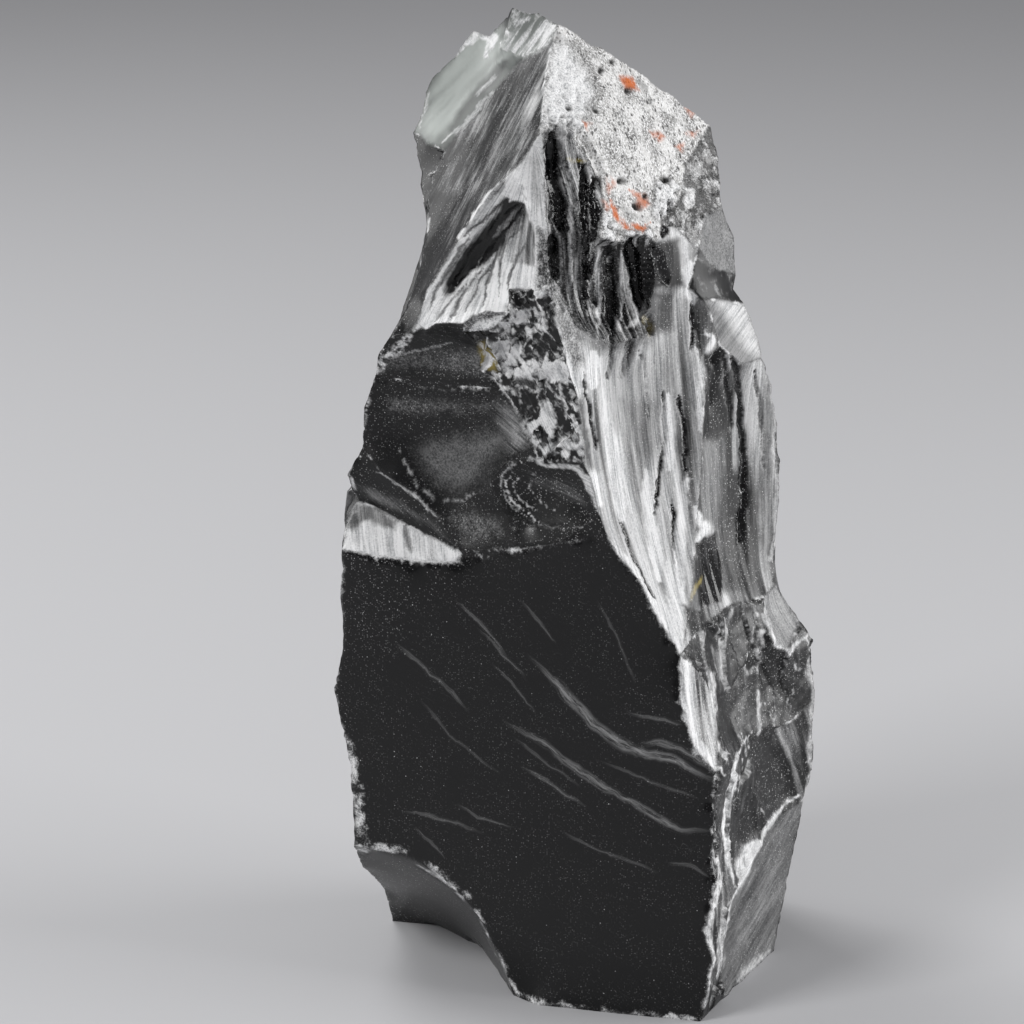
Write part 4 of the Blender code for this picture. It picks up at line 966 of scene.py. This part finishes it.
# --- The ridges -----------------------------------------------------------------------------
# Where two scars meet the glass is knife sharp, and so it chips: every ridge is nibbled, with
# here and there a bright crumb.
RIDGE_NIBBLE = 0.35
FOOT_RISE = 1.5
nibble = np.clip(cloud(1.5, 2, 41.0) + 0.15, 0, 1)
relief -= crest * RIDGE_NIBBLE * nibble
torn_on = (on("columns") > 0) & (on("flutes") > 0)
frost = np.maximum(frost, crest * np.clip(1.7 * cloud(4.0, 2, 42.0) - 0.15, 0, 0.9) * (1 - rind)
    * ~torn_on * (0.25 + 0.75 * front))

# The foot stays flat: the relief begins a little above it.
relief *= np.array([min(1.0, max(0.0, p.z / MM / FOOT_RISE)) for p in points])
box_low, box_high = Vector(cad_low), Vector(cad_high)
for vertex, push, normal in zip(bm.verts, relief, facing):
    place = vertex.co + Vector(normal) * float(push) * MM
    for axis in range(3):
        place[axis] = min(max(place[axis], box_low[axis]), box_high[axis])
    vertex.co = place
bm.normal_update()

stone_mesh = bpy.data.meshes.new("obsidian_stone")
bm.to_mesh(stone_mesh)
bm.free()
stone_mesh.shade_smooth()
stone_mesh.set_sharp_from_angle(angle=RIDGE_SHARPNESS)
fields = {"frost": frost, "rind": rind, "rust": rust, "amber": amber, "pale": pale,
    "satin": satin, "dust": dust, "streaky": streaky, "shade": shade}
for name, values in fields.items():
    layer = stone_mesh.attributes.new(name, "FLOAT", "POINT")
    layer.data.foreach_set("value", np.clip(values, 0, 1).astype(np.float32))
for name, field in {"grain": grain, "wisp_a": wisp_field(WISPS[0]),
        "wisp_b": wisp_field(WISPS[1]), "wisp_c": wisp_field(WISPS[2])}.items():
    layer = stone_mesh.attributes.new(name, "FLOAT_VECTOR", "POINT")
    layer.data.foreach_set("vector", field.astype(np.float32).ravel())
stone = bpy.data.objects.new("obsidian_stone", stone_mesh)
bpy.context.scene.collection.objects.link(stone)

# Obsidian: black volcanic glass. Fresh scars are mirror smooth, torn and crushed ones are
# frosted white by countless tiny cracks, and the rind is dull grey stone full of burst bubbles.
# Its index is about 1.49, and is lowered here to match how dark the broad face looks.
# The frost share is white and grey laid into the colour: real frost on torn and crushed glass, and
# painted sheen and highlights where smooth glass would mirror the panels.
GLASS_IOR = 1.42
GLASS = "0c0c0d"
PAINTED_LIGHT_GREY_GREEN = "b2b7b3"
WHITE = "fafafa"
FROST_AND_SHEEN_GREY = "a2a4a6"
RIND_LIGHT = "dcdbd9"
RIND_DARK = "8f8e8c"
PIT = "201f1e"
RUST = "cf6e38"
AMBER = "8f8040"
# Streaks along the grain: their width and length in millimetres. The real ones are too fine to
# show, so these are as coarse as they need to be.
STREAK = (0.45, 9)
WIDE_STREAK = (2.2, 22)
# How many of each pattern's cells or lumps there are to a millimetre.
SPECKS_PER_MM = 2.2
LUMPS_PER_MM = 0.42
DUST_PER_MM = 1.15
GRIT_PER_MM = 2.6
HAZE_PER_MM = 0.12
WANDER_PER_MM = 0.7
SMALL_PITS_PER_MM = 1.7
LARGE_PITS_PER_MM = 0.76
PATCHES_PER_MM = 0.16
WANDER = 0.0012
BUMP_HEIGHT = 0.0005

obsidian = bpy.data.materials.new("volcanic_glass")
obsidian.use_nodes = True
tree = obsidian.node_tree
shader = tree.nodes["Principled BSDF"]
shader.inputs["IOR"].default_value = GLASS_IOR


def add(kind, *values, inputs=(0, 1, 2), out=0, **settings):
    """Adds a node. Each value, or the socket that gives it, feeds one of the inputs."""
    made = tree.nodes.new("ShaderNode" + kind)
    for name, setting in settings.items():
        setattr(made, name, setting)
    for name, value in zip(inputs, values):
        if isinstance(value, bpy.types.NodeSocket):
            tree.links.new(value, made.inputs[name])
        else:
            made.inputs[name].default_value = value
    return made.outputs if out is None else made.outputs[out]


# Settings that repeat: arithmetic, a smooth rise between two ends, and a colour over another.
TIMES = {"operation": "MULTIPLY"}
LESS = {"operation": "SUBTRACT"}
MOST = {"operation": "MAXIMUM"}
RISE = {"interpolation_type": "SMOOTHSTEP"}
OVER = {"data_type": "RGBA", "clamp_factor": True, "inputs": (0, 6, 7), "out": 2}
NOISE = {"inputs": ("Vector", "Scale", "Detail", "Roughness")}
CELLS = {"inputs": ("Vector", "Scale", "Randomness"), "out": None}

place = add("TexCoord", out="Object")
painted = {name: add("Attribute", attribute_name=name, out="Fac") for name in fields}
along_grain = add("Attribute", attribute_name="grain", out="Vector")

streaks, wide_streaks = (
    add("TexNoise", add("Mapping", along_grain, (1 / wide, 1 / long, 1), inputs=(0, 3)),
        1.0, *detail, **NOISE)
    for (wide, long), detail in ((STREAK, (4.0, 0.62)), (WIDE_STREAK, (2.0,)))
)
specks = add("TexNoise", place, SPECKS_PER_MM / MM, 3.0, 0.7, **NOISE)
lumps = add("TexNoise", place, LUMPS_PER_MM / MM, 3.0, 0.6, **NOISE)
drawn = add("Math", add("Math", streaks, 0.6, **TIMES), add("Math", wide_streaks, 0.4, **TIMES))
dotted = add("Math", add("Math", specks, 0.6, **TIMES), add("Math", lumps, 0.4, **TIMES))
texture = add("Mix", painted["streaky"], dotted, drawn, inputs=(0, 2, 3))
texture = add("Math", add("Math", texture, 0.75, **TIMES), add("Math", specks, 0.25, **TIMES))

# Frost and painted sheen: its texture swings it, most where it is half laid and least on satin
# glass.
swing = add("Math", add("Math", texture, 0.5, **LESS), 4.2, **TIMES)
weight = add("Math", painted["frost"], 4.0, use_clamp=True, **TIMES)
quiet = add("Math", 1.0, add("Math", painted["satin"], 0.8, **TIMES), **LESS)
weight = add("Math", add("Math", weight, 0.46, **TIMES), quiet, **TIMES)
level = add("Math", add("Math", painted["frost"], 1.25, **TIMES), 0.16, **LESS)
level = add("Math", level, add("Math", swing, weight, **TIMES))
frosted = add("MapRange", level, 0.0, 1.0, **RISE)

wisps = 0.0
for name in ("wisp_a", "wisp_b", "wisp_c"):
    across, strength, along = add(
        "SeparateXYZ", add("Attribute", attribute_name=name, out="Vector"), out=None)
    stretched = add("CombineXYZ", add("Math", across, 1.2, **TIMES),
        add("Math", along, 0.14, **TIMES))
    fibre = add("TexNoise", stretched, 1.0, 6.0, 0.65, **NOISE)
    body = add("MapRange", add("Math", across, 0.0, operation="ABSOLUTE"), 1.7, 0.0, **RISE)
    lit = add("Math", add("Math", body, strength, **TIMES),
        add("MapRange", fibre, 0.34, 0.62, **RISE), **TIMES)
    wisps = add("Math", wisps, lit, **MOST)

# Dust: white specks of about 0.3 mm, each in a cell of 0.9 mm, in some of the cells. Finer grit
# and hairs lie between. All are coarser than real dust, which would not show.
cells = add("TexVoronoi", place, DUST_PER_MM / MM, 1.0, **CELLS)
chosen = add("SeparateColor", cells["Color"], out=None)
picked = add("Math", chosen[0], add("Math", painted["dust"], 0.6, **TIMES), **LESS)
speck = add("Math", add("MapRange", cells["Distance"], 0.20, 0.06, **RISE),
    add("MapRange", picked, 0.0, -0.12, **RISE), **TIMES)
speck = add("Math", speck, add("Math", chosen[1], 0.75, **TIMES), **TIMES)

fine = add("TexVoronoi", place, GRIT_PER_MM / MM, 1.0, **CELLS)
fine_pick = add("SeparateColor", fine["Color"], out=None)
haze = add("TexNoise", place, HAZE_PER_MM / MM, 3.0, **NOISE)
grit = add("Math", add("MapRange", fine["Distance"], 0.5, 0.2, **RISE),
    add("MapRange", fine_pick[0], 0.5, 0.1, **RISE), **TIMES)
grit = add("Math", add("Math", grit, painted["dust"], **TIMES),
    add("MapRange", haze, 0.30, 0.60, **RISE), **TIMES)
grit = add("Math", grit, add("Math", fine_pick[1], 0.7, **TIMES), **TIMES)
hairs = add("Math", add("MapRange", streaks, 0.60, 0.78, **RISE),
    add("Math", painted["dust"], 0.06, **TIMES), **TIMES)

# Rind: burst bubbles of 0.5 to 1 mm, a little drawn out, in two sizes.
wander = add("TexNoise", place, WANDER_PER_MM / MM, 2.0, out="Color", **NOISE)
wander = add("VectorMath", wander, (WANDER, WANDER, WANDER), **TIMES)
bent_place = add("VectorMath", place, wander)
drawn_place = add("Mapping", bent_place, (0.3, 0.5, 0.6), (1.0, 1.0, 0.7), inputs=(0, 2, 3))
pits = 0.0
for per_mm, rim, core, some, depth in (
    (SMALL_PITS_PER_MM, 0.55, 0.2, 0.9, 0.72),
    (LARGE_PITS_PER_MM, 0.42, 0.16, 0.34, 0.85),
):
    hollows = add("TexVoronoi", drawn_place, per_mm / MM, 1.0, **CELLS)
    pick = add("SeparateColor", hollows["Color"])
    pit = add("Math", add("MapRange", hollows["Distance"], rim, core, **RISE),
        add("MapRange", pick, some, 0.1, **RISE), **TIMES)
    pits = add("Math", pits, add("Math", pit, depth, **TIMES), **MOST)
patches = add("TexNoise", place, PATCHES_PER_MM / MM, 4.0, **NOISE)

# Colour: each layer lies over the last one, in turn.
frost_colour = add("Mix", add("MapRange", texture, 0.34, 0.58, **RISE), linear(FROST_AND_SHEEN_GREY),
    linear(WHITE), **OVER)
rind_colour = add("Mix", add("MapRange", patches, 0.36, 0.62, **RISE), linear(RIND_DARK),
    linear(RIND_LIGHT), **OVER)
rind_colour = add("Mix", add("MapRange", specks, 0.44, 0.62, **RISE), rind_colour, linear(WHITE),
    **OVER)
rind_colour = add("Mix", pits, rind_colour, linear(PIT), **OVER)
rusted = add("Math", painted["rust"], add("MapRange", lumps, 0.3, 0.55, **RISE), **TIMES)
colour = linear(GLASS)
for cover, over in (
    (painted["pale"], linear(PAINTED_LIGHT_GREY_GREEN)),
    (painted["amber"], linear(AMBER)),
    (add("Math", wisps, 0.36, **TIMES), linear(WHITE)),
    (hairs, linear(WHITE)),
    (grit, linear(WHITE)),
    (speck, linear(WHITE)),
    (frosted, frost_colour),
    (painted["rind"], rind_colour),
    (rusted, linear(RUST)),
    (painted["shade"], linear(PIT)),
):
    colour = add("Mix", cover, colour, over, **OVER)
tree.links.new(colour, shader.inputs["Base Color"])

dull = 0.09
for value, most in ((painted["satin"], 0.26), (frosted, 0.34), (painted["rind"], 0.6)):
    dull = add("Math", dull, add("Math", value, most, **TIMES))
dull = add("Math", dull, add("Math", lumps, 0.05, **TIMES), use_clamp=True)
tree.links.new(dull, shader.inputs["Roughness"])

height = 0.0
for value, cover, most in ((texture, frosted, 0.35), (streaks, painted["satin"], 0.10),
        (patches, painted["rind"], 0.5), (pits, painted["rind"], -0.6)):
    rise = add("Math", add("Math", value, cover, **TIMES), most, **TIMES)
    height = add("Math", height, rise)
bump = add("Bump", 0.8, BUMP_HEIGHT, height, inputs=("Strength", "Distance", "Height"))
tree.links.new(bump, shader.inputs["Normal"])
stone_mesh.materials.append(obsidian)
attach(stone, "root")
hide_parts("obsidian_chunk")

# --- Bounds ---------------------------------------------------------------------------------
low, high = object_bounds()
